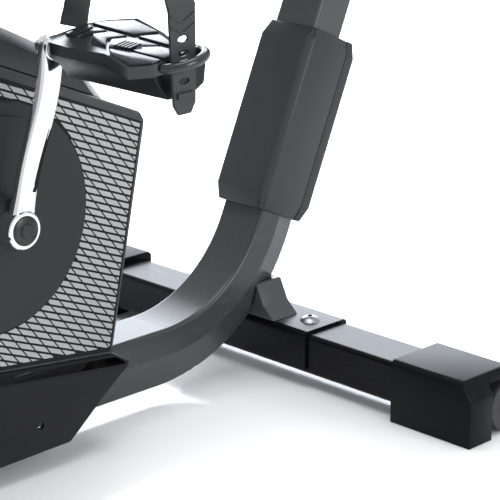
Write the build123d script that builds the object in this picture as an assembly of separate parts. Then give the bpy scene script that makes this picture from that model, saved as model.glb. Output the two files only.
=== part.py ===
from build123d import *
from math import atan2, cos, pi, radians, sin, sqrt
import os

# Recumbent exercise bike. X points forward, Y to the rider's left, Z up; the floor is Z = 0.

# Feet
rear_foot_x = -118.5          # centre of the rear stabiliser bar
front_foot_x = rear_foot_x + 728
bar_width = 60.0              # stabiliser bar along X
bar_bottom = 16.0
bar_top = 62.0
bar_wall = 2.5
bar_half_length = 316.0
cap_inner_y = 230.0
cap_outer_y = 338.0
cap_half_width = 40.0
cap_top = 70.0
cap_bevel = (14.0, 20.0)      # inward and down, at the cap's outer end
foot_wheel_radius = 26.0
foot_wheel_offset = 26.0      # from the bar's centre line, outward
axle_radius = 4.0
saddle_thickness = 3.5
bolt_y = 76.0

# Main tube with its bend
tube_bottom = 17.0
tube_top = 87.0
tube_half_width = 30.0
tube_wall = 3.0
bend_radius = 185.0
bend_x = rear_foot_x + 172
post_lean = 24.0              # degrees behind vertical
tube_front_x = rear_foot_x + 690
post_stub = 120.0             # straight tube after the bend
post_length = 330.0           # from the end of the bend to the rail bracket
post_half_width = 30.0
post_wall = 3.0
post_faces = (40.0, -8.0)     # the upper post's front and rear, ahead of the tube's axis

# Crank and drive
crank_x = rear_foot_x + 426
crank_z = 269.0
crank_length = 170.0
crank_lean = 12.0             # degrees the left arm stands behind vertical
flywheel_x = rear_foot_x + 626
flywheel_z = 243.0
flywheel_radius = 118.0
shaft_radius = 8.5
bearing_radius = 20.0
bearing_width = 12.0
running_gap = 0.05
pulley_radius = 90.0
small_pulley_radius = 20.0
belt_thickness = 2.4
belt_gap = 0.3
plate_inner = 30.0            # the drive plates stand on the sides of the tube
plate_outer = 34.0
belt_y = (40.0, 50.0)
arm_y = 104.0                 # inner face of the crank boss
pedal_y = 126.0               # outer face of the crank arm at the pedal
cap_radius = 14.5             # plug over the crank axle's screw
pedal_pitch = 10.0            # degrees the pedal hangs with its rear edge up
deck_top = 16.0               # top of the pedal's deck over the spindle
strap_x = (-33.0, -3.0)       # the strap's two edges across the pedal
strap_outer_y = 158.0

# Casing
case_half = 66.0
case_wall = 3.0
chin_half = 78.0
disc_radius = 112.0
panel_thickness = 1.2

# Seat
rail_tilt = 3.0
rail_half_width = 30.0
rail_half_height = 20.0
rail_length = 470.0
seat_x = rear_foot_x - 205    # middle of the cushion
seat_z = 520.0                # underside of the seat pan at the middle
seat_recline = 20.0
cushion_half_width = 205.0

# Console
mast_lean = 14.0
mast_half = 30.0
mast_foot = (rear_foot_x + 655, 402.0)
mast_length = 650.0

os.makedirs("parts", exist_ok=True)


def block(x0, x1, y0, y1, z0, z1):
    """A box from its six limits."""
    return Pos((x0 + x1) / 2, (y0 + y1) / 2, (z0 + z1) / 2) * Box(x1 - x0, y1 - y0, z1 - z0)


def rod(x, z, radius, y0, y1):
    """A round bar along Y."""
    return Pos(x, (y0 + y1) / 2, z) * Rot(90, 0, 0) * Cylinder(radius, y1 - y0)


def ring(x, z, outer, inner, y0, y1):
    """A hollow round bar along Y."""
    return rod(x, z, outer, y0, y1) - rod(x, z, inner, y0 - 1, y1 + 1)


def profile(points, y0, y1, radius=0.0):
    """A side outline in X and Z, extruded from y0 to y1, its corners rounded."""
    face = Polygon(*points, align=None)
    if radius:
        face = fillet(face.vertices(), radius)
    return extrude(Plane.XZ.offset(-y1) * face, y1 - y0, dir=(0, -1, 0))


def across(points, x0, x1):
    """A cross outline in Y and Z, extruded from x0 to x1."""
    return extrude(Plane.YZ.offset(x0) * Polygon(*points, align=None), x1 - x0, dir=(1, 0, 0))


def other_side(shape):
    """The mirror image on the rider's right."""
    return shape.mirror(Plane.XZ)


def post_point(along, ahead=0.0):
    """A point in X and Z on the leaning post: along it from the end of the bend, and ahead of its axis."""
    lean = radians(post_lean)
    turn = pi / 2 - lean
    end_x = bend_x - bend_radius * sin(turn)
    end_z = (tube_bottom + tube_top) / 2 + bend_radius * (1 - cos(turn))
    return (end_x - along * sin(lean) + ahead * cos(lean), end_z + along * cos(lean) + ahead * sin(lean))


def post_plane(along):
    """A plane square to the post: its x is the rider's right, its y points ahead."""
    lean = radians(post_lean)
    x, z = post_point(along)
    return Plane(origin=(x, 0, z), x_dir=(0, -1, 0), z_dir=(-sin(lean), 0, cos(lean)))


def tube_section(inset):
    """The main tube's section, flat on top with a wide slanted underside."""
    half = tube_half_width - inset
    depth = (tube_top - tube_bottom) / 2 - inset
    knee = 5.0
    keel = 14.0 - 0.4 * inset
    points = [(-half, depth), (half, depth), (half, knee), (keel, -depth), (-keel, -depth), (-half, knee)]
    face = Polygon(*points, align=None)
    return fillet(face.vertices(), 4.5 - inset)


def post_prism(points, start, length):
    """A prism along the post from a section in (rider's right, ahead)."""
    plane = post_plane(start)
    return extrude(plane * Polygon(*points, align=None), length, dir=plane.z_dir)


def tube_solid(inset):
    """The main tube's outline, drawn in by inset: its floor run, its bend and its lower post."""
    middle = (tube_bottom + tube_top) / 2
    section = tube_section(inset)
    front = Plane(origin=(tube_front_x, 0, middle), x_dir=(0, -1, 0), z_dir=(-1, 0, 0))
    run = extrude(front * section, tube_front_x - bend_x, dir=(-1, 0, 0))
    knee = Plane(origin=(bend_x, 0, middle), x_dir=(0, -1, 0), z_dir=(-1, 0, 0))
    centre = Axis((bend_x, 0, middle + bend_radius), (0, 1, 0))
    bend = revolve(knee * section, axis=centre, revolution_arc=90 - post_lean)
    rise = extrude(post_plane(0) * section, post_stub, dir=post_plane(0).z_dir)
    return run + bend + rise


def main_frame():
    tube = tube_solid(0) - tube_solid(tube_wall)
    end_plate = block(tube_front_x, tube_front_x + 6, -30, 30, bar_bottom + 2, tube_top + 10)
    pillar = block(crank_x - 22, crank_x + 22, -25, 25, tube_top - 1, crank_z)
    shell = pillar + rod(crank_x, crank_z, bearing_radius + 5, -plate_inner, plate_inner)
    shell = shell - rod(crank_x, crank_z, bearing_radius, -plate_inner - 1, plate_inner + 1)
    return tube + end_plate + shell


def drive_plates():
    outline = [
        (crank_x - 45, tube_top - 22), (tube_front_x - 6, tube_top - 22), (flywheel_x + 70, flywheel_z),
        (mast_foot[0] + 52, mast_foot[1] + 10), (mast_foot[0] + 24, mast_foot[1] + 52),
        (mast_foot[0] - 50, mast_foot[1] + 52), (flywheel_x - 120, flywheel_z + 90), (crank_x, crank_z + 40),
        (crank_x - 40, crank_z),
    ]
    plate = profile(outline, plate_inner, plate_outer, 12)
    plate = plate - rod(crank_x, crank_z, bearing_radius + 5, 0, 60)
    plate = plate - rod(flywheel_x, flywheel_z, bearing_radius, 0, 60)
    plate = plate - rod(flywheel_x - 75, flywheel_z + 20, 28, 0, 60)
    return Compound(children=[plate, other_side(plate)])


def stabiliser(x):
    outer = block(x - bar_width / 2, x + bar_width / 2, -bar_half_length, bar_half_length, bar_bottom, bar_top)
    outer = fillet(outer.edges().filter_by(Axis.Y), 5)
    inner = block(x - bar_width / 2 + bar_wall, x + bar_width / 2 - bar_wall,
                  -bar_half_length - 1, bar_half_length + 1, bar_bottom + bar_wall, bar_top - bar_wall)
    return outer - inner


def end_cap(x, outward):
    """A cap over the bar's left end; its outer face carries a round recess on the outward side."""
    inward, down = cap_bevel
    outline = [(cap_inner_y, 0), (cap_outer_y, 0), (cap_outer_y, cap_top - down), (cap_outer_y - inward, cap_top),
               (cap_inner_y, cap_top)]
    body = across(outline, x - cap_half_width, x + cap_half_width)
    body = chamfer(body.edges().filter_by(Axis.Y).group_by(Axis.Z)[-1], 5)
    pocket = block(x - bar_width / 2, x + bar_width / 2, cap_inner_y - 1, bar_half_length, bar_bottom, bar_top)
    pocket = fillet(pocket.edges().filter_by(Axis.Y), 5)
    wheel_x = x + outward * foot_wheel_offset
    reach = foot_wheel_radius + 3
    recess = block(wheel_x - reach, wheel_x + reach, bar_half_length + 2, cap_outer_y + 1, -1, 60)
    return body - pocket - recess


def caps(x, outward):
    left = end_cap(x, outward)
    return left, other_side(left)


def foot_wheel(x, outward):
    """A wheel in the cap's recess, free on its axle."""
    wheel_x = x + outward * foot_wheel_offset
    wheel = ring(wheel_x, foot_wheel_radius + 2, foot_wheel_radius, axle_radius + running_gap,
                 bar_half_length + 4, cap_outer_y - 4)
    return fillet(wheel.edges().filter_by(GeomType.CIRCLE).group_by(SortBy.RADIUS)[-1], 2)


def wheel_axle(x, outward):
    wheel_x = x + outward * foot_wheel_offset
    z = foot_wheel_radius + 2
    pin = rod(wheel_x, z, axle_radius, bar_half_length + 2, cap_outer_y - 3)
    head = rod(wheel_x, z, 7.5, cap_outer_y - 3, cap_outer_y - 0.5)
    return pin + head


def wheel_axles():
    pins = [wheel_axle(rear_foot_x, -1), wheel_axle(front_foot_x, 1)]
    return Compound(children=pins + [other_side(pin) for pin in pins])


def rear_saddle():
    """A thin U plate over the rear bar that the main tube is welded to."""
    outer = block(rear_foot_x - 34, rear_foot_x + 34, -100, 100, bar_bottom + 6, bar_top + saddle_thickness)
    outer = fillet(outer.edges().filter_by(Axis.Y).group_by(Axis.Z)[-1], 6)
    inner = block(rear_foot_x - 30, rear_foot_x + 30, -101, 101, 0, bar_top)
    inner = fillet(inner.edges().filter_by(Axis.Y).group_by(Axis.Z)[-1], 5)
    return outer - inner


def rear_gusset():
    """A small block under the bend that carries the tube on the saddle, flared to both sides."""
    foot = bar_top + saddle_thickness
    wall = across([(-52, foot), (52, foot), (36, 80), (25, 103), (-25, 103), (-36, 80)],
                  rear_foot_x - 6, rear_foot_x + 33)
    middle = (tube_bottom + tube_top) / 2
    knee = Plane(origin=(bend_x, 0, middle), x_dir=(0, -1, 0), z_dir=(-1, 0, 0))
    face = Polygon((-30, 90), (30, 90), (30, 5), (14, -35), (-14, -35), (-30, 5), align=None)
    centre = Axis((bend_x, 0, middle + bend_radius), (0, 1, 0))
    cut = revolve(knee * fillet(face.vertices(), 4.5), axis=centre, revolution_arc=90 - post_lean)
    return (wall - cut).solids().sort_by(SortBy.VOLUME)[-1]


def stabiliser_bolts():
    """Dome bolts through the saddle and the front bracket."""
    bolts = []
    for x in (rear_foot_x, front_foot_x):
        for y in (-bolt_y, bolt_y):
            seat = bar_top + saddle_thickness
            dome = Pos(x, y, seat - 8) * Sphere(14) & block(x - 14, x + 14, y - 14, y + 14, seat, 90)
            dome = dome - Pos(x, y, seat + 2) * extrude(RegularPolygon(3.2, 6), 6)
            bolts.append(dome)
    return Compound(children=bolts)


def front_bracket_plate():
    """A plate welded on the front bar that takes its two dome bolts."""
    return block(front_foot_x - 26, front_foot_x + 26, -100, 100, bar_top, bar_top + saddle_thickness)


def seat_post():
    """The upper post: a spigot in the main tube, the post itself and the rail bracket on top."""
    spigot = post_prism([(-26, 31), (26, 31), (26, 6), (12, -30), (-12, -30), (-26, 6)], post_stub - 80, 80)
    front, back = post_faces
    section = [(-post_half_width, front), (post_half_width, front), (post_half_width, back),
               (-post_half_width, back)]
    post = post_prism(section, post_stub, post_length - post_stub)
    post = fillet(post.edges().filter_by(Axis((0, 0, 0), post_plane(0).z_dir)), 5)
    inner = post_half_width - post_wall
    hollow = post_prism([(-inner, front - post_wall), (inner, front - post_wall), (inner, back + post_wall),
                         (-inner, back + post_wall)], post_stub + 4, post_length - post_stub - 24)
    post = post - hollow
    bracket = rail_block(-60, 90, -24, 24, -rail_half_height - 42, -rail_half_height)
    return spigot + post + bracket


def rail_frame():
    """The frame of the seat rail: x along it and forward, z square to it."""
    head_x, head_z = post_point(post_length)
    tilt = radians(rail_tilt)
    lift = rail_half_height + 22
    origin = (head_x + lift * sin(tilt), 0, head_z + lift * cos(tilt))
    return Plane(origin=origin, x_dir=(cos(tilt), 0, -sin(tilt)), z_dir=(sin(tilt), 0, cos(tilt)))


def rail_block(x0, x1, y0, y1, z0, z1):
    """A box in the rail's own frame."""
    return rail_frame().location * block(x0, x1, y0, y1, z0, z1)


def seat_rail():
    half = rail_length / 2
    middle = -45
    body = rail_block(middle - half, middle + half, -rail_half_width, rail_half_width, -rail_half_height,
                      rail_half_height)
    for side in (-1, 1):
        slot = rail_block(middle - half + 12, middle + half - 12, side * rail_half_width - 6,
                          side * rail_half_width + 6, -5, 5)
        body = body - slot
    hollow = rail_block(middle - half - 1, middle + half + 1, -20, 20, -14, 14)
    return body - hollow


def post_loft(points, ends, along):
    """A tapered end for a cover: from its full section at one place to a smaller one at another."""
    sections = [post_plane(place) * Polygon(*outline, align=None) for outline, place in zip((points, ends), along)]
    return loft(sections)


def post_cover(points, ends, start, length, taper):
    """A sleeve round the post with both of its ends tapered."""
    body = post_prism(points, start + taper, length - 2 * taper)
    low = post_loft(points, ends, (start + taper, start))
    high = post_loft(points, ends, (start + length - taper, start + length))
    return body + low + high


def post_covers():
    """Front and rear shells around the joint of tube and post."""
    start, length, taper = 15.0, 207.0, 17.0
    half, split = 40, -14
    front = post_cover([(-half, split), (half, split), (half, 43), (33, 50), (-33, 50), (-half, 43)],
                       [(-34, split), (34, split), (34, 40), (30, 43.5), (-30, 43.5), (-34, 40)],
                       start, length, taper)
    rear_split = split - 0.2
    rear = post_cover([(-half, rear_split), (half, rear_split), (half, -27), (20, -44), (-20, -44), (-half, -27)],
                      [(-34, rear_split), (34, rear_split), (34, -25), (18, -39), (-18, -39), (-34, -25)],
                      start, length, taper)
    cavity = post_prism([(-36, 46), (36, 46), (36, -26), (18, -39), (-18, -39), (-36, -26)],
                        start + taper, length - 2 * taper)
    tube = post_prism([(-30.2, 35.2), (30.2, 35.2), (30.2, 5), (14.2, -35.2), (-14.2, -35.2), (-30.2, 5)],
                      start - 40, 80)
    fit = 0.2
    wide = post_half_width + fit
    neck = post_prism([(-wide, post_faces[0] + fit), (wide, post_faces[0] + fit), (wide, post_faces[1] - fit),
                       (-wide, post_faces[1] - fit)], start + length - 40, 60)
    return [shell - cavity - tube - neck for shell in (front, rear)]


# Casing outline in the side view, from the rear bottom corner round the top to the nose.
case_low = 104.0
case_slope = 0.12


def low_line(x):
    return case_low - 7 + case_slope * (x - rear_foot_x - 278)


case_outline = [
    (rear_foot_x + 278, low_line(rear_foot_x + 278)), (rear_foot_x + 228, 330), (rear_foot_x + 234, 340),
    (rear_foot_x + 560, 476), (rear_foot_x + 690, 486), (rear_foot_x + 778, 400), (rear_foot_x + 800, 280),
    (rear_foot_x + 790, 190), (rear_foot_x + 762, low_line(rear_foot_x + 762)),
]


def case_cavity(points, inset, drop):
    """The same outline drawn in by inset, with its lower edge dropped to open the bottom."""
    face = offset(Polygon(*points, align=None), -inset)
    solid = extrude(Plane.XZ.offset(-case_half + case_wall) * face, case_half - case_wall, dir=(0, -1, 0))
    return solid + Pos(0, 0, -drop) * solid


def shroud():
    """The left half of the upper casing, open at the bottom and towards the middle."""
    outer = profile(case_outline, 0, case_half)
    side = outer.faces().sort_by(Axis.Y)[-1]
    rims = [edge for edge in side.edges() if edge.center().Z > 150]
    outer = chamfer(rims, 4)
    body = outer - case_cavity(case_outline, case_wall, 16)
    body = body - rod(crank_x, crank_z, 30, 50, 80)
    mouth = mast_block(-36, 36, -36, 36, -120, 400)
    return body - mouth


def mast_frame():
    """The mast's frame: z along it, x ahead of it."""
    lean = radians(mast_lean)
    return Plane(origin=(mast_foot[0], 0, mast_foot[1]), x_dir=(cos(lean), 0, sin(lean)),
                 z_dir=(-sin(lean), 0, cos(lean)))


def mast_block(x0, x1, y0, y1, z0, z1):
    """A box in the mast's own frame."""
    return mast_frame().location * block(x0, x1, y0, y1, z0, z1)


def chin():
    """The left half of the lower casing, wider than the shroud and open at the top."""
    rear = rear_foot_x + 265
    front = tube_front_x - 4
    outline = [(rear, 88), (rear_foot_x + 303, 60), (rear_foot_x + 348, 24), (front - 60, 20), (front, 44),
               (front, low_line(front)), (rear_foot_x + 278, low_line(rear_foot_x + 278))]
    outer = profile(outline, 0, chin_half)
    top = outer.faces().sort_by(Axis.Y)[-1].edges().sort_by(Axis.Z)[-1]
    outer = chamfer(top, 12)
    face = offset(Polygon(*outline, align=None), -case_wall)
    depth = chin_half - case_wall
    inner = extrude(Plane.XZ.offset(-depth) * face, depth, dir=(0, -1, 0))
    inner = inner + Pos(0, -11, 10) * inner
    body = outer - inner
    body = body - block(rear - 10, front + 10, -1, tube_half_width + 0.4, 0, 400)
    body = body - block(crank_x - 60, front + 10, -1, plate_outer + 0.6, 50, 400)
    return body - rod(rear_foot_x + 385, 52, 4, 60, 90)


def side_panels():
    """Thin mesh panels let onto the casing's sides around the crank discs."""
    outline = [(rear_foot_x + 284, low_line(rear_foot_x + 284) + 3), (rear_foot_x + 236, 331),
               (rear_foot_x + 560, 464), (rear_foot_x + 684, 474), (rear_foot_x + 768, 394),
               (rear_foot_x + 789, 280), (rear_foot_x + 754, low_line(rear_foot_x + 754) + 3)]
    panel = profile(outline, case_half, case_half + panel_thickness)
    panel = panel - rod(crank_x, crank_z, disc_radius + 1.5, 60, 80)
    return Compound(children=[panel, other_side(panel)])


def top_cover():
    """The raised crown that runs along the casing's top edge up to the mast."""
    points = [(rear_foot_x + 262, 352), (rear_foot_x + 300, 400), (rear_foot_x + 560, 530),
              (rear_foot_x + 640, 540), (rear_foot_x + 688, 486.2), (rear_foot_x + 560, 476.2)]
    outer = profile(points, -58, 58)
    ridge = [edge for edge in outer.edges().filter_by(Axis.Y, reverse=True)
             if abs(edge.center().Y) > 57 and edge.center().Z > edge_floor(edge.center().X) + 4]
    outer = chamfer(ridge, 18, 14)
    inner = profile([(x, z - 4.2) for x, z in points], -39, 39)
    inner = inner + profile([(x, z - 24) for x, z in points], -54, 54)
    mouth = mast_block(-31, 31, -31, 31, -100, 400)
    body = outer - inner - mouth - profile(case_outline, -70, 70)
    return body.solids().sort_by(SortBy.VOLUME)[-1]


def edge_floor(x):
    """Height of the casing's sloping top edge at x."""
    x0, z0 = case_outline[2]
    x1, z1 = case_outline[3]
    x2, z2 = case_outline[4]
    if x < x1:
        return z0 + (z1 - z0) * (x - x0) / (x1 - x0)
    return z1 + (z2 - z1) * (x - x1) / (x2 - x1)


def mast_point(ahead, side, up):
    """A point given in the mast's own frame."""
    point = mast_frame().from_local_coords(Vector(ahead, side, up))
    return (point.X, point.Y, point.Z)


def console_mast():
    body = mast_block(-mast_half, mast_half, -mast_half, mast_half, 0, mast_length)
    body = fillet(body.edges().filter_by(Axis((0, 0, 0), mast_frame().z_dir)), 7)
    bore = mast_block(-mast_half + 2.5, mast_half - 2.5, -mast_half + 2.5, mast_half - 2.5, -1, mast_length - 8)
    clamp = mast_block(-mast_half - 46, -mast_half, -22, 22, 522, 568)
    clamp = clamp - rod(mast_point(-mast_half - 26, 0, 545)[0], mast_point(-mast_half - 26, 0, 545)[2], 14, -30, 30)
    head = mast_block(-20, 20, -26, 26, mast_length, mast_length + 18)
    return body - bore + clamp + head


def bar_along(points, radius, bend):
    """A round bar through points, with a tangent arc of radius bend at each inner point."""
    line = FilletPolyline(*points, radius=bend)
    first = Vector(*points[0])
    start = Plane(origin=first, z_dir=(Vector(*points[1]) - first).normalized())
    return sweep(start * Circle(radius), line)


def handlebar():
    """A bar that crosses the mast's clamp and reaches back to the rider on both sides."""
    cross = -mast_half - 26
    points = [mast_point(cross - 150, -225, 610), mast_point(cross - 60, -225, 560), mast_point(cross, -150, 545),
              mast_point(cross, 150, 545), mast_point(cross - 60, 225, 560), mast_point(cross - 150, 225, 610)]
    return bar_along(points, 14, 30)


def handlebar_grips():
    """Foam sleeves on both ends of the handlebar."""
    cross = -mast_half - 26
    grips = []
    for side in (-1, 1):
        a = Vector(*mast_point(cross - 82, side * 225, 572.2))
        b = Vector(*mast_point(cross - 156, side * 225, 613.3))
        plane = Plane(origin=a, z_dir=(b - a).normalized())
        length = (b - a).length
        grip = plane.location * (Pos(0, 0, length / 2) * Cylinder(18, length))
        core = plane.location * (Pos(0, 0, length / 2 - 5) * Cylinder(14.05, length))
        grips.append(grip - core)
    return Compound(children=grips)


def console_frame():
    """The console's frame: its z faces the rider."""
    tilt = radians(35)
    top = mast_frame().from_local_coords(Vector(0, 0, mast_length + 18))
    return Plane(origin=(top.X, 0, top.Z + 62), x_dir=(0, 1, 0), z_dir=(-cos(tilt), 0, sin(tilt)))


def console_block(x0, x1, y0, y1, z0, z1):
    """A box in the console's own frame: x left, y down the face, z towards the rider."""
    return console_frame().location * block(x0, x1, y0, y1, z0, z1)


def console_face(inset, z0, z1):
    half_w, half_h = 140 - inset, 88 - inset
    points = [(-half_w, -half_h + 30), (-half_w + 34, -half_h), (half_w - 34, -half_h), (half_w, -half_h + 30),
              (half_w - 18, half_h - 22), (half_w - 46, half_h), (-half_w + 46, half_h), (-half_w + 18, half_h - 22)]
    frame = console_frame()
    plane = Plane(origin=frame.from_local_coords(Vector(0, 0, z0)), x_dir=frame.x_dir, z_dir=frame.z_dir)
    return extrude(plane * Polygon(*points, align=None), z1 - z0, dir=plane.z_dir)


key_places = {"key_up": -60.0, "key_down": 60.0}
key_row = 58.0


def console_back():
    body = console_face(0, -26, 0) - console_face(4, -22, 1)
    neck = mast_block(-24, 24, -32, 32, mast_length, mast_length + 160) & console_face(20, -60, -22)
    return body + neck - mast_block(-20.2, 20.2, -26.2, 26.2, mast_length - 60, mast_length + 18)


def console_front():
    body = console_face(0, 0.1, 14) - console_face(4, -1, 10)
    window = console_block(-92, 92, -62, 34, 8, 20)
    shelf = console_block(-92, 92, -62, 34, 10, 11)
    body = body - window + shelf
    for place in key_places.values():
        body = body - console_frame().location * (Pos(place, key_row, 10) * Cylinder(12.4, 20))
    return body


def display_lens():
    return console_block(-91.6, 91.6, -61.6, 33.6, 11, 13.5)


def key(place):
    cap = console_frame().location * (Pos(place, key_row, 12) * Cylinder(12, 12))
    return fillet(cap.edges().filter_by(GeomType.CIRCLE).sort_by(lambda e: -turned(e))[0:1], 1.5)


def turned(edge):
    return console_frame().to_local_coords(edge.center()).Z


def arm_point(side, along):
    """A point in X and Z on the crank, along the arm from its axis; the right arm points the other way."""
    lean = radians(crank_lean)
    return (crank_x - side * along * sin(lean), crank_z + side * along * cos(lean))


def crank_arm(side):
    """A crank arm that tapers from its boss to the pedal end and leans outward."""
    lean = crank_lean if side > 0 else crank_lean + 180
    place = Pos(crank_x, 0, crank_z) * Rot(0, -lean, 0)
    front = profile([(-15, 0), (15, 0), (13, 60), (12.5, crank_length), (-12.5, crank_length), (-13, 60)],
                    arm_y, pedal_y)
    edge = across([(arm_y, -1), (118, -1), (118, 40), (pedal_y, 110), (pedal_y, 185), (pedal_y - 14, 185),
                   (arm_y, 75)], -40, 40)
    eye = rod(0, crank_length, 13, pedal_y - 15, pedal_y)
    boss = rod(0, 0, 18.5, arm_y - 6, 118)
    arm = front & edge
    arm = arm + eye + boss
    arm = arm - rod(0, 0, shaft_radius, 0, arm_y + 6) - rod(0, 0, cap_radius + 0.1, arm_y + 8, 130)
    arm = arm - rod(0, crank_length, 6, 80, 140)
    if side < 0:
        return other_side(place * arm)
    return place * arm


def crank_disc():
    """A dished round cover that turns with the crank arm."""
    disc = rod(crank_x, crank_z, disc_radius, case_half + 0.6, case_half + 5)
    step = rod(crank_x, crank_z, disc_radius - 13, case_half + 5, case_half + 7)
    hub = rod(crank_x, crank_z, 27, case_half + 7, arm_y - 6)
    bore = rod(crank_x, crank_z, shaft_radius, 50, 120)
    return disc + step + hub - bore


def crank_caps():
    cap = rod(crank_x, crank_z, cap_radius, arm_y + 8, arm_y + 18)
    return Compound(children=[cap, other_side(cap)])


def crank_axle():
    return rod(crank_x, crank_z, shaft_radius, -arm_y - 6, arm_y + 6)


def bearings():
    """Four equal ball bearings: two for the crank axle, two for the flywheel shaft."""
    rings = []
    for y in (plate_inner - bearing_width, -plate_inner):
        rings.append(ring(crank_x, crank_z, bearing_radius, shaft_radius + running_gap, y, y + bearing_width))
    for y in (plate_inner - 8, -plate_outer):
        rings.append(ring(flywheel_x, flywheel_z, bearing_radius, shaft_radius + running_gap, y, y + bearing_width))
    return Compound(children=rings)


def drive_pulley():
    body = rod(crank_x, crank_z, pulley_radius, belt_y[0], belt_y[1])
    flange = rod(crank_x, crank_z, pulley_radius + 4, belt_y[0] - 2, belt_y[0] - 0.5)
    hub = rod(crank_x, crank_z, 16, belt_y[0] - 5, belt_y[1] + 6)
    holes = rod(crank_x, crank_z, shaft_radius, 20, 70)
    body = body + flange + rod(crank_x, crank_z, pulley_radius, belt_y[0] - 2, belt_y[0]) + hub - holes
    for count in range(5):
        angle = 2 * pi * count / 5
        body = body - rod(crank_x + 52 * cos(angle), crank_z + 52 * sin(angle), 20, 20, 70)
    return body


def belt_face(grow):
    """The area inside the belt's loop around both pulleys, in X and Z."""
    dx, dz = flywheel_x - crank_x, flywheel_z - crank_z
    span = sqrt(dx * dx + dz * dz)
    big, small = pulley_radius + grow, small_pulley_radius + grow
    heading = atan2(dz, dx)
    opening = pi / 2 - atan2(big - small, sqrt(span * span - (big - small) ** 2))
    corners = []
    for cx, cz, r, sign in ((crank_x, crank_z, big, 1), (flywheel_x, flywheel_z, small, 1),
                            (flywheel_x, flywheel_z, small, -1), (crank_x, crank_z, big, -1)):
        angle = heading + sign * opening
        corners.append((cx + r * cos(angle), cz + r * sin(angle)))
    quad = profile(corners, belt_y[0], belt_y[1])
    return quad + rod(crank_x, crank_z, big, *belt_y) + rod(flywheel_x, flywheel_z, small, *belt_y)


def drive_belt():
    return belt_face(belt_gap + belt_thickness) - belt_face(belt_gap)


def flywheel():
    wheel = rod(flywheel_x, flywheel_z, flywheel_radius, -9, 9)
    for side in (-1, 1):
        wheel = wheel - ring(flywheel_x, flywheel_z, flywheel_radius - 22, 30, min(5 * side, 10 * side),
                             max(5 * side, 10 * side))
    hub = rod(flywheel_x, flywheel_z, 24, -14, 14)
    return wheel + hub - rod(flywheel_x, flywheel_z, shaft_radius, -30, 30)


def flywheel_shaft():
    shaft = rod(flywheel_x, flywheel_z, shaft_radius, -plate_outer - 4, belt_y[1] + 4)
    return shaft + rod(flywheel_x, flywheel_z, small_pulley_radius, *belt_y)


magnet_pivot = (flywheel_x - 60, flywheel_z + 152)


def magnet_bracket():
    """An arc over the flywheel's rim that carries the brake magnets, on its own pivot pin."""
    outer = ring(flywheel_x, flywheel_z, flywheel_radius + 17, flywheel_radius + 5, -15, 15)
    wedge = profile([(flywheel_x, flywheel_z), (flywheel_x - 90, flywheel_z + 190),
                     (flywheel_x + 60, flywheel_z + 190)], -20, 20)
    arc = outer & wedge
    lug = profile([(magnet_pivot[0] - 9, magnet_pivot[1] - 42), (magnet_pivot[0] + 16, magnet_pivot[1] - 34),
                   (magnet_pivot[0] + 9, magnet_pivot[1] + 9), (magnet_pivot[0] - 9, magnet_pivot[1] + 9)], -5, 5)
    pin = rod(magnet_pivot[0], magnet_pivot[1], 4, -plate_inner + 0.5, plate_inner - 0.5)
    return arc + lug + pin


def servo_motor():
    x, z = crank_x + 90, crank_z + 86
    body = block(x - 26, x + 26, -20, 20, z - 16, z + 16)
    ear = block(x - 34, x + 34, -plate_inner, -20, z - 12, z + 12)
    return body + ear + rod(x + 14, z, 7, 20, 27)


def pedal():
    """The left pedal in its own frame: the spindle along Y at the origin, outward is plus Y."""
    deck = [(8, 4), (-34, 8), (-49, 20), (-64, 44), (-46, 98), (-34, 124), (-40, 140), (-38, 162), (-24, 175),
            (-6, 177), (8, 165), (21, 152), (33, 137), (17, 90), (20, 41), (18, 18)]
    top = extrude(Pos(0, 0, 4) * Polygon(*deck, align=None), deck_top - 4, dir=(0, 0, 1))
    top = chamfer(top.faces().sort_by(Axis.Z)[-1].edges(), 1.5)
    slot = block(strap_x[0] - 2, strap_x[1] + 2, strap_outer_y - 1, strap_outer_y + 5, 0, deck_top + 1)
    keel = profile([(17, 5), (-50, 5), (-42, -22), (-30, -27), (2, -25)], 14, 148)
    core = rod(0, 0, 12, 6, 108)
    return top - slot + keel + core - rod(0, 0, 6.05, 0, 104) - rod(0, 0, 9, 0, 5.6)


def pedal_strap():
    """A broad band arched over the deck, its tail hanging through the slot at the deck's outer end."""
    low, high, end = deck_top, 96, strap_outer_y
    outer = [(6, low), (9, 60), (34, high), (118, high + 4), (end - 8, 76), (end + 3, 42), (end + 3, -34),
             (end, -34), (end, 42), (end - 10.5, 75), (116.6, high + 1), (35.4, high - 3), (12, 59), (9, low)]
    return across(outer, *strap_x)


def pedal_spindles():
    """A spindle screwed into each crank arm."""
    pins = []
    for side in (1, -1):
        x, z = arm_point(side, crank_length)
        pin = rod(x, z, 6, pedal_y - 22, pedal_y + 100) + rod(x, z, 8.5, pedal_y, pedal_y + 5)
        pins.append(pin if side > 0 else other_side(pin))
    return Compound(children=pins)


def at_pedal(shape, side):
    """A pedal piece carried to the left or right crank end, its rear edge tipped up in both cases."""
    x, z = arm_point(side, crank_length)
    if side < 0:
        shape = other_side(shape)
    return Pos(x, side * pedal_y, z) * Rot(0, pedal_pitch, 0) * shape


seat_shift = (seat_x - rail_frame().origin.X) / cos(radians(rail_tilt))


def seat_block(x0, x1, y0, y1, z0, z1):
    """A box in the rail's frame, measured along the rail from under the cushion's middle."""
    return rail_block(seat_shift + x0, seat_shift + x1, y0, y1, z0, z1)


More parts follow.
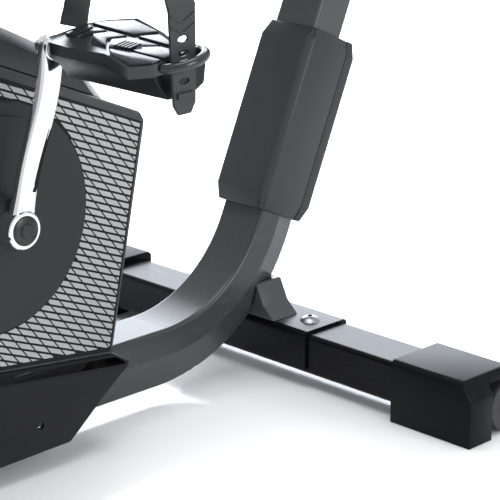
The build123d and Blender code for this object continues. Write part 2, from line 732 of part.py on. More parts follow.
def seat_frame():
    """The carriage that hugs the rail, cross members and the two back uprights, welded together."""
    sleeve = seat_block(-110, 110, -42, 42, -14, 34)
    sleeve = sleeve - seat_block(-120, 120, -rail_half_width - 0.5, rail_half_width + 0.5, -20, rail_half_height + 0.5)
    keys = seat_block(-100, 100, -rail_half_width - 1, -rail_half_width + 4.5, -4, 4)
    keys = keys + seat_block(-100, 100, rail_half_width - 4.5, rail_half_width + 1, -4, 4)
    body = sleeve + keys - rod(lever_pivot[0], lever_pivot[2], 5.05, -60, -34)
    for x in (-90, 70):
        body = body + seat_block(x, x + 30, -150, 150, 34, 62)
    for side in (-1, 1):
        y = side * 110
        start = seat_local(-75, y, 48)
        low = seat_local(-238, y, 48)
        top = back_point(330, -26)
        body = body + bar_along([start, low, (top[0], y, top[1])], 12.5, 40)
    return body


def seat_local(x, y, z):
    point = rail_frame().from_local_coords(Vector(seat_shift + x, y, z))
    return (point.X, point.Y, point.Z)


lever_pivot = seat_local(100, 0, 10)


def back_point(up, ahead):
    """A point in X and Z on the back rest: up it from its lower edge, and ahead of the shell's front face."""
    recline = radians(seat_recline)
    base = rail_frame().from_local_coords(Vector(seat_shift - 212, 0, 116))
    return (base.X - up * sin(recline) + ahead * cos(recline), base.Z + up * cos(recline) + ahead * sin(recline))


def back_frame_plane():
    recline = radians(seat_recline)
    x, z = back_point(0, 0)
    return Plane(origin=(x, 0, z), x_dir=(cos(recline), 0, sin(recline)), z_dir=(-sin(recline), 0, cos(recline)))


def back_block(x0, x1, y0, y1, z0, z1):
    return back_frame_plane().location * block(x0, x1, y0, y1, z0, z1)


def seat_pan():
    pan = seat_block(-195, 185, -190, 190, 62, 72)
    return chamfer(pan.edges().filter_by(Axis((0, 0, 0), rail_frame().z_dir)), 40)


def seat_cushion():
    pad = seat_block(-205, 200, -cushion_half_width, cushion_half_width, 72, 128)
    pad = chamfer(pad.edges().filter_by(Axis((0, 0, 0), rail_frame().z_dir)), 45)
    top = pad.faces().sort_by(Axis.Z)[-1]
    return fillet(top.edges(), 18)


def back_shell():
    shell = back_block(-13, 0, -180, 180, 30, 410)
    shell = chamfer(shell.edges().filter_by(Axis((0, 0, 0), back_frame_plane().x_dir)), 50)
    return shell


def back_cushion():
    pad = back_block(0, 56, -195, 195, 20, 425)
    pad = chamfer(pad.edges().filter_by(Axis((0, 0, 0), back_frame_plane().x_dir)), 55)
    front = pad.faces().sort_by(back_frame_plane_axis())[-1]
    return fillet(front.edges(), 18)


def back_frame_plane_axis():
    return Axis((0, 0, 0), back_frame_plane().x_dir)


def seat_handle():
    """One bar across under the seat that rises to a hand grip on either side."""
    points = [seat_local(170, -265, 210), seat_local(20, -265, 170), seat_local(-10, -265, 48),
              seat_local(-10, 265, 48), seat_local(20, 265, 170), seat_local(170, 265, 210)]
    return bar_along(points, 14, 45)


def seat_grips():
    grips = []
    for side in (-1, 1):
        a = Vector(*seat_local(72, side * 265, 183.87))
        b = Vector(*seat_local(176, side * 265, 211.6))
        plane = Plane(origin=a, z_dir=(b - a).normalized())
        length = (b - a).length
        grip = plane.location * (Pos(0, 0, length / 2) * Cylinder(18, length))
        core = plane.location * (Pos(0, 0, length / 2 - 5) * Cylinder(14.05, length))
        grips.append(grip - core)
    return Compound(children=grips)


def seat_lever():
    """The release lever beside the rail, on a pin across the carriage's front."""
    x, z = lever_pivot[0], lever_pivot[2]
    pin = rod(x, z, 5, -150, -35)
    arm = seat_block(88, 240, -162, -150, 2, 18)
    knob = seat_block(235, 275, -168, -144, 2, 22)
    return pin + arm + fillet(knob.edges(), 4)


front_left, front_right = caps(front_foot_x, 1)
rear_left, rear_right = caps(rear_foot_x, -1)
cover_front, cover_rear = post_covers()
left_case = shroud()
left_chin = chin()
left_disc = crank_disc()
front_wheel = foot_wheel(front_foot_x, 1)
rear_wheel = foot_wheel(rear_foot_x, -1)

export_step(main_frame(), "parts/main_frame.step")
export_step(drive_plates(), "parts/drive_plates.step")
export_step(stabiliser(front_foot_x) + front_bracket_plate(), "parts/front_stabiliser.step")
export_step(front_left, "parts/front_cap_left.step")
export_step(front_right, "parts/front_cap_right.step")
export_step(stabiliser(rear_foot_x), "parts/rear_stabiliser.step")
export_step(rear_gusset(), "parts/rear_gusset.step")
export_step(rear_saddle(), "parts/rear_saddle.step")
export_step(rear_left, "parts/rear_cap_left.step")
export_step(rear_right, "parts/rear_cap_right.step")
export_step(rear_wheel, "parts/leveller_left.step")
export_step(other_side(rear_wheel), "parts/leveller_right.step")
export_step(front_wheel, "parts/transport_wheel_left.step")
export_step(other_side(front_wheel), "parts/transport_wheel_right.step")
export_step(wheel_axles(), "parts/wheel_axles.step")
export_step(stabiliser_bolts(), "parts/stabiliser_bolts.step")
export_step(seat_post(), "parts/seat_post.step")
export_step(cover_front, "parts/post_cover_front.step")
export_step(cover_rear, "parts/post_cover_rear.step")
export_step(seat_rail(), "parts/seat_rail.step")
export_step(left_case, "parts/shroud_left.step")
export_step(other_side(left_case), "parts/shroud_right.step")
export_step(left_chin, "parts/chin_left.step")
export_step(other_side(left_chin), "parts/chin_right.step")
export_step(side_panels(), "parts/side_panels.step")
export_step(top_cover(), "parts/top_cover.step")
export_step(console_mast(), "parts/console_mast.step")
export_step(handlebar(), "parts/handlebar.step")
export_step(handlebar_grips(), "parts/handlebar_grips.step")
export_step(console_back(), "parts/console_back.step")
export_step(console_front(), "parts/console_front.step")
export_step(display_lens(), "parts/display_lens.step")
for name, place in key_places.items():
    export_step(key(place), f"parts/{name}.step")
export_step(crank_axle(), "parts/crank_axle.step")
export_step(bearings(), "parts/bearings.step")
export_step(drive_pulley(), "parts/drive_pulley.step")
export_step(crank_arm(1), "parts/crank_arm_left.step")
export_step(crank_arm(-1), "parts/crank_arm_right.step")
export_step(left_disc, "parts/crank_disc_left.step")
export_step(other_side(left_disc), "parts/crank_disc_right.step")
export_step(crank_caps(), "parts/crank_caps.step")
export_step(pedal_spindles(), "parts/pedal_spindles.step")
export_step(at_pedal(pedal(), 1), "parts/pedal_left.step")
export_step(at_pedal(pedal(), -1), "parts/pedal_right.step")
export_step(at_pedal(pedal_strap(), 1), "parts/pedal_strap_left.step")
export_step(at_pedal(pedal_strap(), -1), "parts/pedal_strap_right.step")
export_step(flywheel(), "parts/flywheel.step")
export_step(flywheel_shaft(), "parts/flywheel_shaft.step")
export_step(drive_belt(), "parts/drive_belt.step")
export_step(magnet_bracket(), "parts/magnet_bracket.step")
export_step(servo_motor(), "parts/servo_motor.step")
export_step(seat_frame(), "parts/seat_frame.step")
export_step(seat_pan(), "parts/seat_pan.step")
export_step(seat_cushion(), "parts/seat_cushion.step")
export_step(back_shell(), "parts/back_shell.step")
export_step(back_cushion(), "parts/back_cushion.step")
export_step(seat_handle(), "parts/seat_handle.step")
export_step(seat_grips(), "parts/seat_grips.step")
export_step(seat_lever(), "parts/seat_lever.step")
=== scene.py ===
"""Looks of a recumbent exercise bike, built around its CAD frame."""

import math

import bmesh
import bpy
from mathutils import Matrix, Vector


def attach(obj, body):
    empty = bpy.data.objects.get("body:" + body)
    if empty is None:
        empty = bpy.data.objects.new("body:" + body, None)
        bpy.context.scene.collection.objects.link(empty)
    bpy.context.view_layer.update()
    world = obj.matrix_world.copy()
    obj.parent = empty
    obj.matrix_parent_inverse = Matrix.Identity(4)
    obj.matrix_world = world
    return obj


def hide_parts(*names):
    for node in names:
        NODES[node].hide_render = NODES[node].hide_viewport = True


bl_info = {
    "name": "Recumbent bike looks",
    "version": (1, 0, 0),
    "blender": (4, 5, 0),
    "location": "View3D > Sidebar > Bike",
    "description": "Dresses the CAD frame of a recumbent exercise bike with finished pieces",
    "category": "Object",
}

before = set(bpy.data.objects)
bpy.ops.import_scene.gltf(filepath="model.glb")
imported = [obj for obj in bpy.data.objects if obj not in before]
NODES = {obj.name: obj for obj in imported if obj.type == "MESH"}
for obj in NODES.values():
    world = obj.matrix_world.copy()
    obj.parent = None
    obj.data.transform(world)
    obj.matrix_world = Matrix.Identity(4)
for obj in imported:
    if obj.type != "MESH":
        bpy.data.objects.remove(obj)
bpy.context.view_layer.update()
SIDES = (("left", 1), ("right", -1))

# Places on the bike, in millimetres: X forward, Y to the rider's left, Z up.
CRANK = (307.5, 269.0)
CRANK_LENGTH = 170.0
CRANK_LEAN = math.radians(12.0)
PEDAL_FACE = 126.0
PEDAL_PITCH = math.radians(10.0)
PANEL_FACE = 67.2
DISC_RADIUS = 112.0


# ---------------------------------------------------------------- places

def tilted(origin, x_axis, z_axis):
    """A placing matrix from an origin and two axes at right angles."""
    x, z = Vector(x_axis).normalized(), Vector(z_axis).normalized()
    place = Matrix((x, z.cross(x), z)).transposed().to_4x4()
    place.translation = Vector(origin)
    return place


RAIL = tilted((-323.5, 0, 509.15), (0.99863, 0, -0.052336), (0.052336, 0, 0.99863))
BACK = tilted((-529.14, 0, 636.08), (0.939693, 0, 0.34202), (-0.34202, 0, 0.939693))
MAST = tilted((536.5, 0, 402.0), (0.970296, 0, 0.241922), (-0.241922, 0, 0.970296))
CONSOLE = tilted((374.9, 0, 1112.16), (0, 1, 0), (-0.819152, 0, 0.573576))


def pedal_place(sign):
    """The pedal's own frame: x forward, y outward, z up; the right pedal hangs from the lower crank end."""
    reach = sign * CRANK_LENGTH
    x = CRANK[0] - reach * math.sin(CRANK_LEAN)
    z = CRANK[1] + reach * math.cos(CRANK_LEAN)
    outward = Matrix.Diagonal((1, sign, 1, 1))
    return Matrix.Translation((x, sign * PEDAL_FACE, z)) @ Matrix.Rotation(PEDAL_PITCH, 4, "Y") @ outward


# ---------------------------------------------------------------- mesh helpers

def slab(bm, outline, place, low, high):
    """A closed slab: an outline in place's X and Y, from low to high along its Z; returns the far end's verts."""
    base = [bm.verts.new(place @ Vector((u, v, low))) for u, v in outline]
    face = bm.faces.new(base)
    grown = bmesh.ops.extrude_face_region(bm, geom=[face])["geom"]
    top = [item for item in grown if isinstance(item, bmesh.types.BMVert)]
    lift = place.to_3x3() @ Vector((0, 0, high - low))
    bmesh.ops.translate(bm, verts=top, vec=lift)
    return top


def rims(verts):
    """The edges that run between verts of one list."""
    chosen = set(verts)
    return [e for e in {e for v in verts for e in v.link_edges} if all(v in chosen for v in e.verts)]


def soften(bm, edges, width, segments=2):
    """Rounds edges over by width."""
    bmesh.ops.bevel(bm, geom=list(edges), offset=width, offset_type="OFFSET", segments=segments,
                    profile=0.5, affect="EDGES", material=-1, clamp_overlap=True)


def lathe(bm, place, outline, steps=48):
    """A turned solid: (radius, height) pairs spun round place's Z; the first and last lie on the axis."""
    before = set(bm.verts)
    line = [bm.verts.new((r, 0, h)) for r, h in outline]
    edges = [bm.edges.new(pair) for pair in zip(line, line[1:])]
    bmesh.ops.spin(bm, geom=line + edges, cent=(0, 0, 0), axis=(0, 0, 1), angle=2 * math.pi,
                   steps=steps, use_merge=True, use_duplicate=False)
    made = [v for v in bm.verts if v not in before]
    bmesh.ops.remove_doubles(bm, verts=made, dist=0.0001)
    made = [v for v in bm.verts if v not in before]
    bmesh.ops.transform(bm, matrix=place, verts=made)
    return made


def tube(bm, points, radius, around=16, closed=False):
    """A round bar through points, swept by bridging one circle to the next."""
    loops = []
    count = len(points)
    for number, point in enumerate(points):
        if closed:
            before, after = points[number - 1], points[(number + 1) % count]
        else:
            before, after = points[max(number - 1, 0)], points[min(number + 1, count - 1)]
        heading = (Vector(after) - Vector(before)).normalized()
        turn = Vector((0, 0, 1)).rotation_difference(heading).to_matrix().to_4x4()
        size = radius[number] if isinstance(radius, (list, tuple)) else radius
        made = bmesh.ops.create_circle(bm, segments=around, radius=size, cap_ends=False)["verts"]
        bmesh.ops.transform(bm, matrix=Matrix.Translation(point) @ turn, verts=made)
        loops.append(rims(made))
    pairs = list(zip(loops, loops[1:])) + ([(loops[-1], loops[0])] if closed else [])
    for first, second in pairs:
        bmesh.ops.bridge_loops(bm, edges=first + second)
    if not closed:
        for loop in (loops[0], loops[-1]):
            bmesh.ops.contextual_create(bm, geom=loop)


def finish_piece(name, bm, body, materials, crease=32.0, shell=False, levels=0):
    """Turns a mesh drawn in millimetres into a named piece that rides on a body."""
    if not shell:
        bmesh.ops.recalc_face_normals(bm, faces=bm.faces)
    bmesh.ops.scale(bm, vec=(0.001, 0.001, 0.001), verts=bm.verts)
    mesh = bpy.data.meshes.new(name)
    bm.to_mesh(mesh)
    bm.free()
    for material in materials:
        mesh.materials.append(material)
    mesh.polygons.foreach_set("use_smooth", [True] * len(mesh.polygons))
    mesh.set_sharp_from_angle(angle=math.radians(crease))
    piece = bpy.data.objects.new(name, mesh)
    bpy.context.scene.collection.objects.link(piece)
    if levels:
        rounder = piece.modifiers.new("Rounding", "SUBSURF")
        rounder.levels = levels
        rounder.render_levels = levels
    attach(piece, body)
    return piece


def rounded_copy(node, name, body, material, width, shortest=12.0):
    """A copy of a CAD node with its long edges rounded over; the piece stands for the node."""
    bm = bmesh.new()
    bm.from_mesh(NODES[node].data)
    bmesh.ops.scale(bm, vec=(1000, 1000, 1000), verts=bm.verts)
    bmesh.ops.remove_doubles(bm, verts=bm.verts, dist=0.002)
    bmesh.ops.dissolve_limit(bm, angle_limit=math.radians(0.6), verts=bm.verts, edges=bm.edges)
    edges = [e for e in bm.edges if len(e.link_faces) == 2 and e.calc_length() > shortest
             and e.calc_face_angle() > math.radians(20)]
    bmesh.ops.bevel(bm, geom=edges, offset=width, offset_type="OFFSET", segments=2, profile=0.5,
                    affect="EDGES", material=-1, clamp_overlap=False)
    bmesh.ops.triangulate(bm, faces=[f for f in bm.faces if len(f.verts) > 4])
    piece = finish_piece(name, bm, body, [material], crease=28, shell=True)
    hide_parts(node)


# ---------------------------------------------------------------- materials

def new_group(name, inputs, outputs):
    """An empty shader group with named sockets; returns the group and its two end nodes."""
    group = bpy.data.node_groups.new(name, "ShaderNodeTree")
    for label, kind, value in inputs:
        socket = group.interface.new_socket(label, in_out="INPUT", socket_type=kind)
        socket.default_value = value
    for label, kind in outputs:
        group.interface.new_socket(label, in_out="OUTPUT", socket_type=kind)
    start = group.nodes.new("NodeGroupInput")
    end = group.nodes.new("NodeGroupOutput")
    return group, start, end


def noise(group, coords, scale, detail):
    """A noise texture on coords; scale is a number or a socket."""
    node = group.nodes.new("ShaderNodeTexNoise")
    node.inputs["Detail"].default_value = detail
    group.links.new(coords, node.inputs["Vector"])
    if isinstance(scale, (int, float)):
        node.inputs["Scale"].default_value = scale
    else:
        group.links.new(scale, node.inputs["Scale"])
    return node


def maths(group, operation, first, second, third=None):
    """A Math node; its terms are numbers or sockets."""
    node = group.nodes.new("ShaderNodeMath")
    node.operation = operation
    for place, term in enumerate((first, second, third)):
        if term is None:
            continue
        if isinstance(term, (int, float)):
            node.inputs[place].default_value = term
        else:
            group.links.new(term, node.inputs[place])
    return node.outputs[0]


def varied(group, start, spread_noise):
    """Base colour and roughness, each moved a little up and down by one noise."""
    swing = maths(group, "SUBTRACT", spread_noise, 0.5)
    value = maths(group, "MULTIPLY_ADD", swing, start.outputs["Shade Spread"], 1.0)
    tint = group.nodes.new("ShaderNodeHueSaturation")
    group.links.new(start.outputs["Color"], tint.inputs["Color"])
    group.links.new(value, tint.inputs["Value"])
    rough = maths(group, "MULTIPLY_ADD", swing, start.outputs["Roughness Spread"], start.outputs["Roughness"])
    return tint.outputs["Color"], rough


COMMON = [("Color", "NodeSocketColor", (0.5, 0.5, 0.5, 1)), ("Shade Spread", "NodeSocketFloat", 0.2),
          ("Roughness", "NodeSocketFloat", 0.5), ("Roughness Spread", "NodeSocketFloat", 0.1),
          ("Size", "NodeSocketFloat", 900.0), ("Height", "NodeSocketFloat", 0.0001)]
RESULTS = [("Color", "NodeSocketColor"), ("Roughness", "NodeSocketFloat"), ("Normal", "NodeSocketVector")]


def bumped(group, start, height):
    """A normal raised by height, as deep as the group's Height."""
    bump = group.nodes.new("ShaderNodeBump")
    bump.inputs["Strength"].default_value = 1.0
    group.links.new(start.outputs["Height"], bump.inputs["Distance"])
    group.links.new(height, bump.inputs["Height"])
    return bump.outputs["Normal"]


def grain_group():
    """Sprayed or moulded surface: slow clouding and a fine pebble."""
    group, start, end = new_group("Moulded grain", COMMON, RESULTS)
    coords = group.nodes.new("ShaderNodeTexCoord").outputs["Object"]
    cloud = noise(group, coords, 14.0, 4.0)
    fine = noise(group, coords, start.outputs["Size"], 2.0)
    color, rough = varied(group, start, cloud.outputs[0])
    group.links.new(color, end.inputs["Color"])
    group.links.new(rough, end.inputs["Roughness"])
    group.links.new(bumped(group, start, fine.outputs[0]), end.inputs["Normal"])
    return group


def streak_group():
    """Brushed or drawn surface: fine lines that run along the piece."""
    inputs = COMMON + [("Along", "NodeSocketVector", (1.0, 1.0, 1.0))]
    group, start, end = new_group("Drawn streaks", inputs, RESULTS)
    coords = group.nodes.new("ShaderNodeTexCoord").outputs["Object"]
    stretch = group.nodes.new("ShaderNodeVectorMath")
    stretch.operation = "MULTIPLY"
    group.links.new(coords, stretch.inputs[0])
    group.links.new(start.outputs["Along"], stretch.inputs[1])
    lines = noise(group, stretch.outputs[0], start.outputs["Size"], 5.0)
    color, rough = varied(group, start, lines.outputs[0])
    group.links.new(color, end.inputs["Color"])
    group.links.new(rough, end.inputs["Roughness"])
    group.links.new(bumped(group, start, lines.outputs[0]), end.inputs["Normal"])
    return group


def leather_group():
    """Grained vinyl: rounded cells with fine creases between them."""
    group, start, end = new_group("Vinyl grain", COMMON, RESULTS)
    coords = group.nodes.new("ShaderNodeTexCoord").outputs["Object"]
    cloud = noise(group, coords, 9.0, 3.0)
    cells = group.nodes.new("ShaderNodeTexVoronoi")
    cells.feature = "DISTANCE_TO_EDGE"
    group.links.new(coords, cells.inputs["Vector"])
    group.links.new(start.outputs["Size"], cells.inputs["Scale"])
    crest = maths(group, "MINIMUM", cells.outputs[0], 0.22)
    color, rough = varied(group, start, cloud.outputs[0])
    group.links.new(color, end.inputs["Color"])
    group.links.new(rough, end.inputs["Roughness"])
    group.links.new(bumped(group, start, crest), end.inputs["Normal"])
    return group


def finish_material(name, group, color, roughness, metallic=0.0, shade=0.15, spread=0.08, size=900.0,
                    height=0.00003, coat=0.0, coat_roughness=0.1, along=None, shine=0.5):
    """A Principled material whose colour, roughness and normal come from a shared group."""
    material = bpy.data.materials.new(name)
    material.use_nodes = True
    tree = material.node_tree
    shader = next(node for node in tree.nodes if node.type == "BSDF_PRINCIPLED")
    shader.inputs["Metallic"].default_value = metallic
    shader.inputs["Specular IOR Level"].default_value = shine
    shader.inputs["Coat Weight"].default_value = coat
    shader.inputs["Coat Roughness"].default_value = coat_roughness
    effect = tree.nodes.new("ShaderNodeGroup")
    effect.node_tree = group
    effect.inputs["Color"].default_value = (*color, 1.0)
    effect.inputs["Shade Spread"].default_value = shade
    effect.inputs["Roughness"].default_value = roughness
    effect.inputs["Roughness Spread"].default_value = spread
    effect.inputs["Size"].default_value = size
    effect.inputs["Height"].default_value = height
    if along:
        effect.inputs["Along"].default_value = along
    tree.links.new(effect.outputs["Color"], shader.inputs["Base Color"])
    tree.links.new(effect.outputs["Roughness"], shader.inputs["Roughness"])
    tree.links.new(effect.outputs["Normal"], shader.inputs["Normal"])
    return material


PAINTS = {}


def mix_paints(colors):
    """Makes every material of the bike from the panel's colours."""
    grain, streak, vinyl = grain_group(), streak_group(), leather_group()
    paint, case = tuple(colors.frame_color), tuple(colors.case_color)
    PAINTS.update(
        frame=finish_material("Frame paint", grain, paint, 0.30, 0.0, 0.16, 0.10, 1400, 0.000012, shine=0.4),
        bar=finish_material("Bar paint", streak, (0.004, 0.0041, 0.0048), 0.27, 0.0, 0.6, 0.2, 60, 0.00005,
                            along=(14.0, 0.4, 14.0), shine=0.13),
        tube=finish_material("Tube paint", streak, (0.046, 0.0465, 0.049), 0.24, 0.0, 0.4, 0.18, 60, 0.00005,
                             along=(0.5, 12.0, 2.0), shine=0.3),
        cover=finish_material("Cover plastic", grain, (0.036, 0.037, 0.041), 0.42, 0.0, 0.10, 0.08, 1500, 0.00002,
                              shine=0.3),
        case=finish_material("Case plastic", grain, case, 0.46, 0.0, 0.12, 0.08, 1300, 0.00003, shine=0.35),
        disc=finish_material("Crank disc plastic", grain, (0.022, 0.022, 0.0225), 0.5, 0.0, 0.12, 0.08, 1300,
                             0.00003, shine=0.25),
        chin=finish_material("Lower case plastic", grain, (0.012, 0.012, 0.0125), 0.5, 0.0, 0.12, 0.08, 1100,
                             0.00004, shine=0.14),
        black=finish_material("Black plastic", grain, (0.006, 0.006, 0.007), 0.36, 0.0, 0.2, 0.1, 1200, 0.00002),
        cap=finish_material("Foot cap plastic", grain, (0.0045, 0.0047, 0.0055), 0.42, 0.0, 0.3, 0.1, 900, 0.00005,
                            shine=0.1),
        tile=finish_material("Panel tiles", grain, tuple(colors.tile_color), 0.38, 0.35, 0.12, 0.08, 700, 0.00002),
        panel=finish_material("Panel backing", grain, (0.003, 0.003, 0.0035), 0.5, 0.0, 0.2, 0.1, 900, 0.00002,
                              shine=0.2),
        chrome=finish_material("Chrome", grain, (0.88, 0.89, 0.91), 0.12, 1.0, 0.05, 0.05, 60, 0.00002),
        steel=finish_material("Zinc steel", streak, (0.42, 0.42, 0.43), 0.34, 1.0, 0.25, 0.2, 300, 0.00001,
                              along=(1.0, 6.0, 6.0)),
        alloy=finish_material("Rail aluminium", streak, (0.55, 0.56, 0.58), 0.30, 1.0, 0.2, 0.2, 180, 0.00001,
                              along=(0.3, 10.0, 10.0)),
        iron=finish_material("Cast iron", grain, (0.09, 0.09, 0.095), 0.55, 0.7, 0.3, 0.2, 500, 0.00012),
        deck=finish_material("Pedal plastic", grain, (0.02, 0.021, 0.024), 0.24, 0.0, 0.2, 0.1, 900, 0.00002),
        keel=finish_material("Pedal body", grain, (0.006, 0.006, 0.007), 0.38, 0.0, 0.2, 0.1, 900, 0.00003,
                             shine=0.3),
        strap=finish_material("Strap rubber", grain, (0.022, 0.022, 0.023), 0.5, 0.0, 0.15, 0.1, 1100, 0.00004),
        rubber=finish_material("Wheel rubber", grain, (0.02, 0.02, 0.021), 0.6, 0.0, 0.25, 0.1, 700, 0.00008),
        foam=finish_material("Grip foam", grain, (0.014, 0.014, 0.015), 0.85, 0.0, 0.3, 0.1, 1600, 0.0004),
        vinyl=finish_material("Seat vinyl", vinyl, tuple(colors.seat_color), 0.42, 0.0, 0.2, 0.1, 420, 0.00025),
        piping=finish_material("Seam piping", grain, (0.035, 0.035, 0.038), 0.5, 0.0, 0.2, 0.1, 1500, 0.00006),
        key=finish_material("Key plastic", grain, (0.32, 0.33, 0.35), 0.4, 0.0, 0.1, 0.1, 1500, 0.00002),
        glass=finish_material("Display glass", grain, (0.012, 0.016, 0.018), 0.07, 0.0, 0.3, 0.02, 40, 0.0, 0.6,
                              0.03),
        glow=finish_material("Display segments", grain, (0.10, 0.42, 0.50), 0.3, 0.0, 0.2, 0.05, 900, 0.0),
        # Black for the console's key arrows; on the crank arm the same black is painted shade for the arm's flute.
        void=finish_material("Black arrows and painted flute shade", grain, (0.003, 0.003, 0.003), 0.6, 0.0, 0.3, 0.1, 900, 0.00002,
                             shine=0.2),
    )


def paint_nodes(material, *nodes):
    """Gives CAD nodes a material."""
    for node in nodes:
        mesh = NODES[node].data
        mesh.materials.clear()
        mesh.materials.append(material)


# ---------------------------------------------------------------- settings

class BikeColors(bpy.types.PropertyGroup):
    frame_color: bpy.props.FloatVectorProperty(name="Frame", description="Colour of the painted tubes",
                                               subtype="COLOR", default=(0.06, 0.061, 0.066), min=0, max=1)
    case_color: bpy.props.FloatVectorProperty(name="Casing", description="Colour of the casing",
                                              subtype="COLOR", default=(0.044, 0.044, 0.045), min=0, max=1)
    tile_color: bpy.props.FloatVectorProperty(name="Panel tiles", description="Colour of the side panel's tiles",
                                              subtype="COLOR", default=(0.36, 0.36, 0.36), min=0, max=1)
    seat_color: bpy.props.FloatVectorProperty(name="Seat", description="Colour of the seat's vinyl",
                                              subtype="COLOR", default=(0.017, 0.017, 0.019), min=0, max=1)


class BikeSizes(bpy.types.PropertyGroup):
    tile_height: bpy.props.FloatProperty(name="Tile height", description="How far the tiles stand off the panel",
                                         default=0.0007, min=0.0002, max=0.002, unit="LENGTH")
    edge_round: bpy.props.FloatProperty(name="Edge rounding", description="Radius on the edges of moulded parts",
                                        default=0.0016, min=0.0004, max=0.004, unit="LENGTH")
    cushion_swell: bpy.props.FloatProperty(name="Cushion swell", description="The most that the stuffing pushes out",
                                           default=0.014, min=0.004, max=0.03, unit="LENGTH")
    lens: bpy.props.FloatProperty(name="Lens", description="Focal length of the camera, in millimetres",
                                  default=141.5, min=20, max=300)


# ---------------------------------------------------------------- frame and feet

class BIKE_OT_frame(bpy.types.Operator):
    """Paints the tubes, plates and fittings of the frame"""
    bl_idname = "bike.frame"
    bl_label = "Frame"

    def execute(self, context):
        mix_paints(context.scene.bike_colors)
        width = context.scene.bike_sizes.edge_round * 1000
        paint_nodes(PAINTS["tube"], "main_frame")
        paint_nodes(PAINTS["bar"], "front_stabiliser", "rear_stabiliser")
        paint_nodes(PAINTS["frame"], "seat_post", "drive_plates", "console_mast", "seat_frame", "seat_handle",
                    "handlebar", "seat_lever")
        paint_nodes(PAINTS["alloy"], "seat_rail")
        paint_nodes(PAINTS["black"], "back_shell", "seat_pan", "servo_motor")
        paint_nodes(PAINTS["steel"], "stabiliser_bolts", "wheel_axles", "bearings", "crank_axle", "flywheel_shaft",
                    "magnet_bracket", "pedal_spindles")
        paint_nodes(PAINTS["iron"], "flywheel")
        paint_nodes(PAINTS["rubber"], "transport_wheel_left", "transport_wheel_right", "leveller_left",
                    "leveller_right", "drive_belt")
        paint_nodes(PAINTS["foam"], "handlebar_grips", "seat_grips")
        paint_nodes(PAINTS["black"], "drive_pulley")
        rounded_copy("rear_saddle", "saddle_plate", "frame", PAINTS["bar"], 1.2)
        rounded_copy("rear_gusset", "gusset_block", "frame", PAINTS["frame"], 1.5)
        for foot in ("front", "rear"):
            for side, _ in SIDES:
                rounded_copy(f"{foot}_cap_{side}", f"{foot}_foot_cap_{side}", "frame",
                             PAINTS["cap"], width)
        return {"FINISHED"}


class BIKE_OT_post_cover(bpy.types.Operator):
    """Builds the two-part sleeve over the joint of the seat post"""
    bl_idname = "bike.post_cover"
    bl_label = "Post cover"

    def execute(self, context):
        width = context.scene.bike_sizes.edge_round * 1000
        for half in ("front", "rear"):
            rounded_copy(f"post_cover_{half}", f"post_sleeve_{half}", "frame", PAINTS["cover"], width)
        return {"FINISHED"}


# ---------------------------------------------------------------- casing

PANEL_OUTLINE = [(165.5, 103.5), (117.5, 331), (441.5, 464), (565.5, 474), (649.5, 394), (670.5, 280), (635.5, 156)]
TILE_ROW = Vector((18.4, 7.2))
TILE_STEP = Vector((7.8, 10.3))
TILE_START = Vector((192.7, 274.1))
TILE_FILL = (0.86, 0.68)
TILE_RANGE = range(-40, 60)
TILE_DISC_GAP = 3.0      # between the tiles and the crank disc
TILE_MARGIN = 2.5        # between the tiles and the panel's edge
TILE_LEAST = 6.0         # square millimetres; smaller scraps are left off


def panel_tiles(bm, sign, height):
    """Rows of slanted tiles over a side panel, cut off at its edge and round the crank disc."""
    centre = Vector(CRANK)
    reach = DISC_RADIUS + TILE_DISC_GAP
    for row in TILE_RANGE:
        for column in TILE_RANGE:
            corner = TILE_START + TILE_ROW * column + TILE_STEP * row
            if not (100 < corner.x < 680 and 70 < corner.y < 480):
                continue
            along, up = TILE_ROW * TILE_FILL[0], TILE_STEP * TILE_FILL[1]
            spots = [corner, corner + along, corner + along + up, corner + up]
            if all((spot - centre).length < reach for spot in spots):
                continue
            bm.faces.new([bm.verts.new((spot.x, 0, spot.y)) for spot in spots])
    inside = Vector((400, 0, 280))
    corners = [Vector((x, 0, z)) for x, z in PANEL_OUTLINE]
    for first, second in zip(corners, corners[1:] + corners[:1]):
        away = (second - first).cross(Vector((0, 1, 0))).normalized()
        if (inside - first).dot(away) > 0:
            away = -away
        bmesh.ops.bisect_plane(bm, geom=bm.verts[:] + bm.edges[:] + bm.faces[:], plane_co=first - away * TILE_MARGIN,
                               plane_no=away, clear_outer=True)
    hub = Vector((CRANK[0], 0, CRANK[1]))
    crossing = [f for f in bm.faces if min((v.co - hub).length for v in f.verts) < reach]
    for face in crossing:
        heading = (face.calc_center_median() - hub).normalized()
        parts = list(face.verts) + list(face.edges) + [face]
        bmesh.ops.bisect_plane(bm, geom=parts, plane_co=hub + heading * reach, plane_no=-heading, clear_outer=True)
    lone = [f for f in bm.faces if f.calc_area() < TILE_LEAST]
    bmesh.ops.delete(bm, geom=lone, context="FACES")
    bmesh.ops.transform(bm, matrix=Matrix.Translation((0, sign * PANEL_FACE, 0)), verts=bm.verts)
    grown = bmesh.ops.extrude_face_region(bm, geom=bm.faces[:])["geom"]
    top = [item for item in grown if isinstance(item, bmesh.types.BMVert)]
    bmesh.ops.translate(bm, verts=top, vec=(0, sign * height, 0))


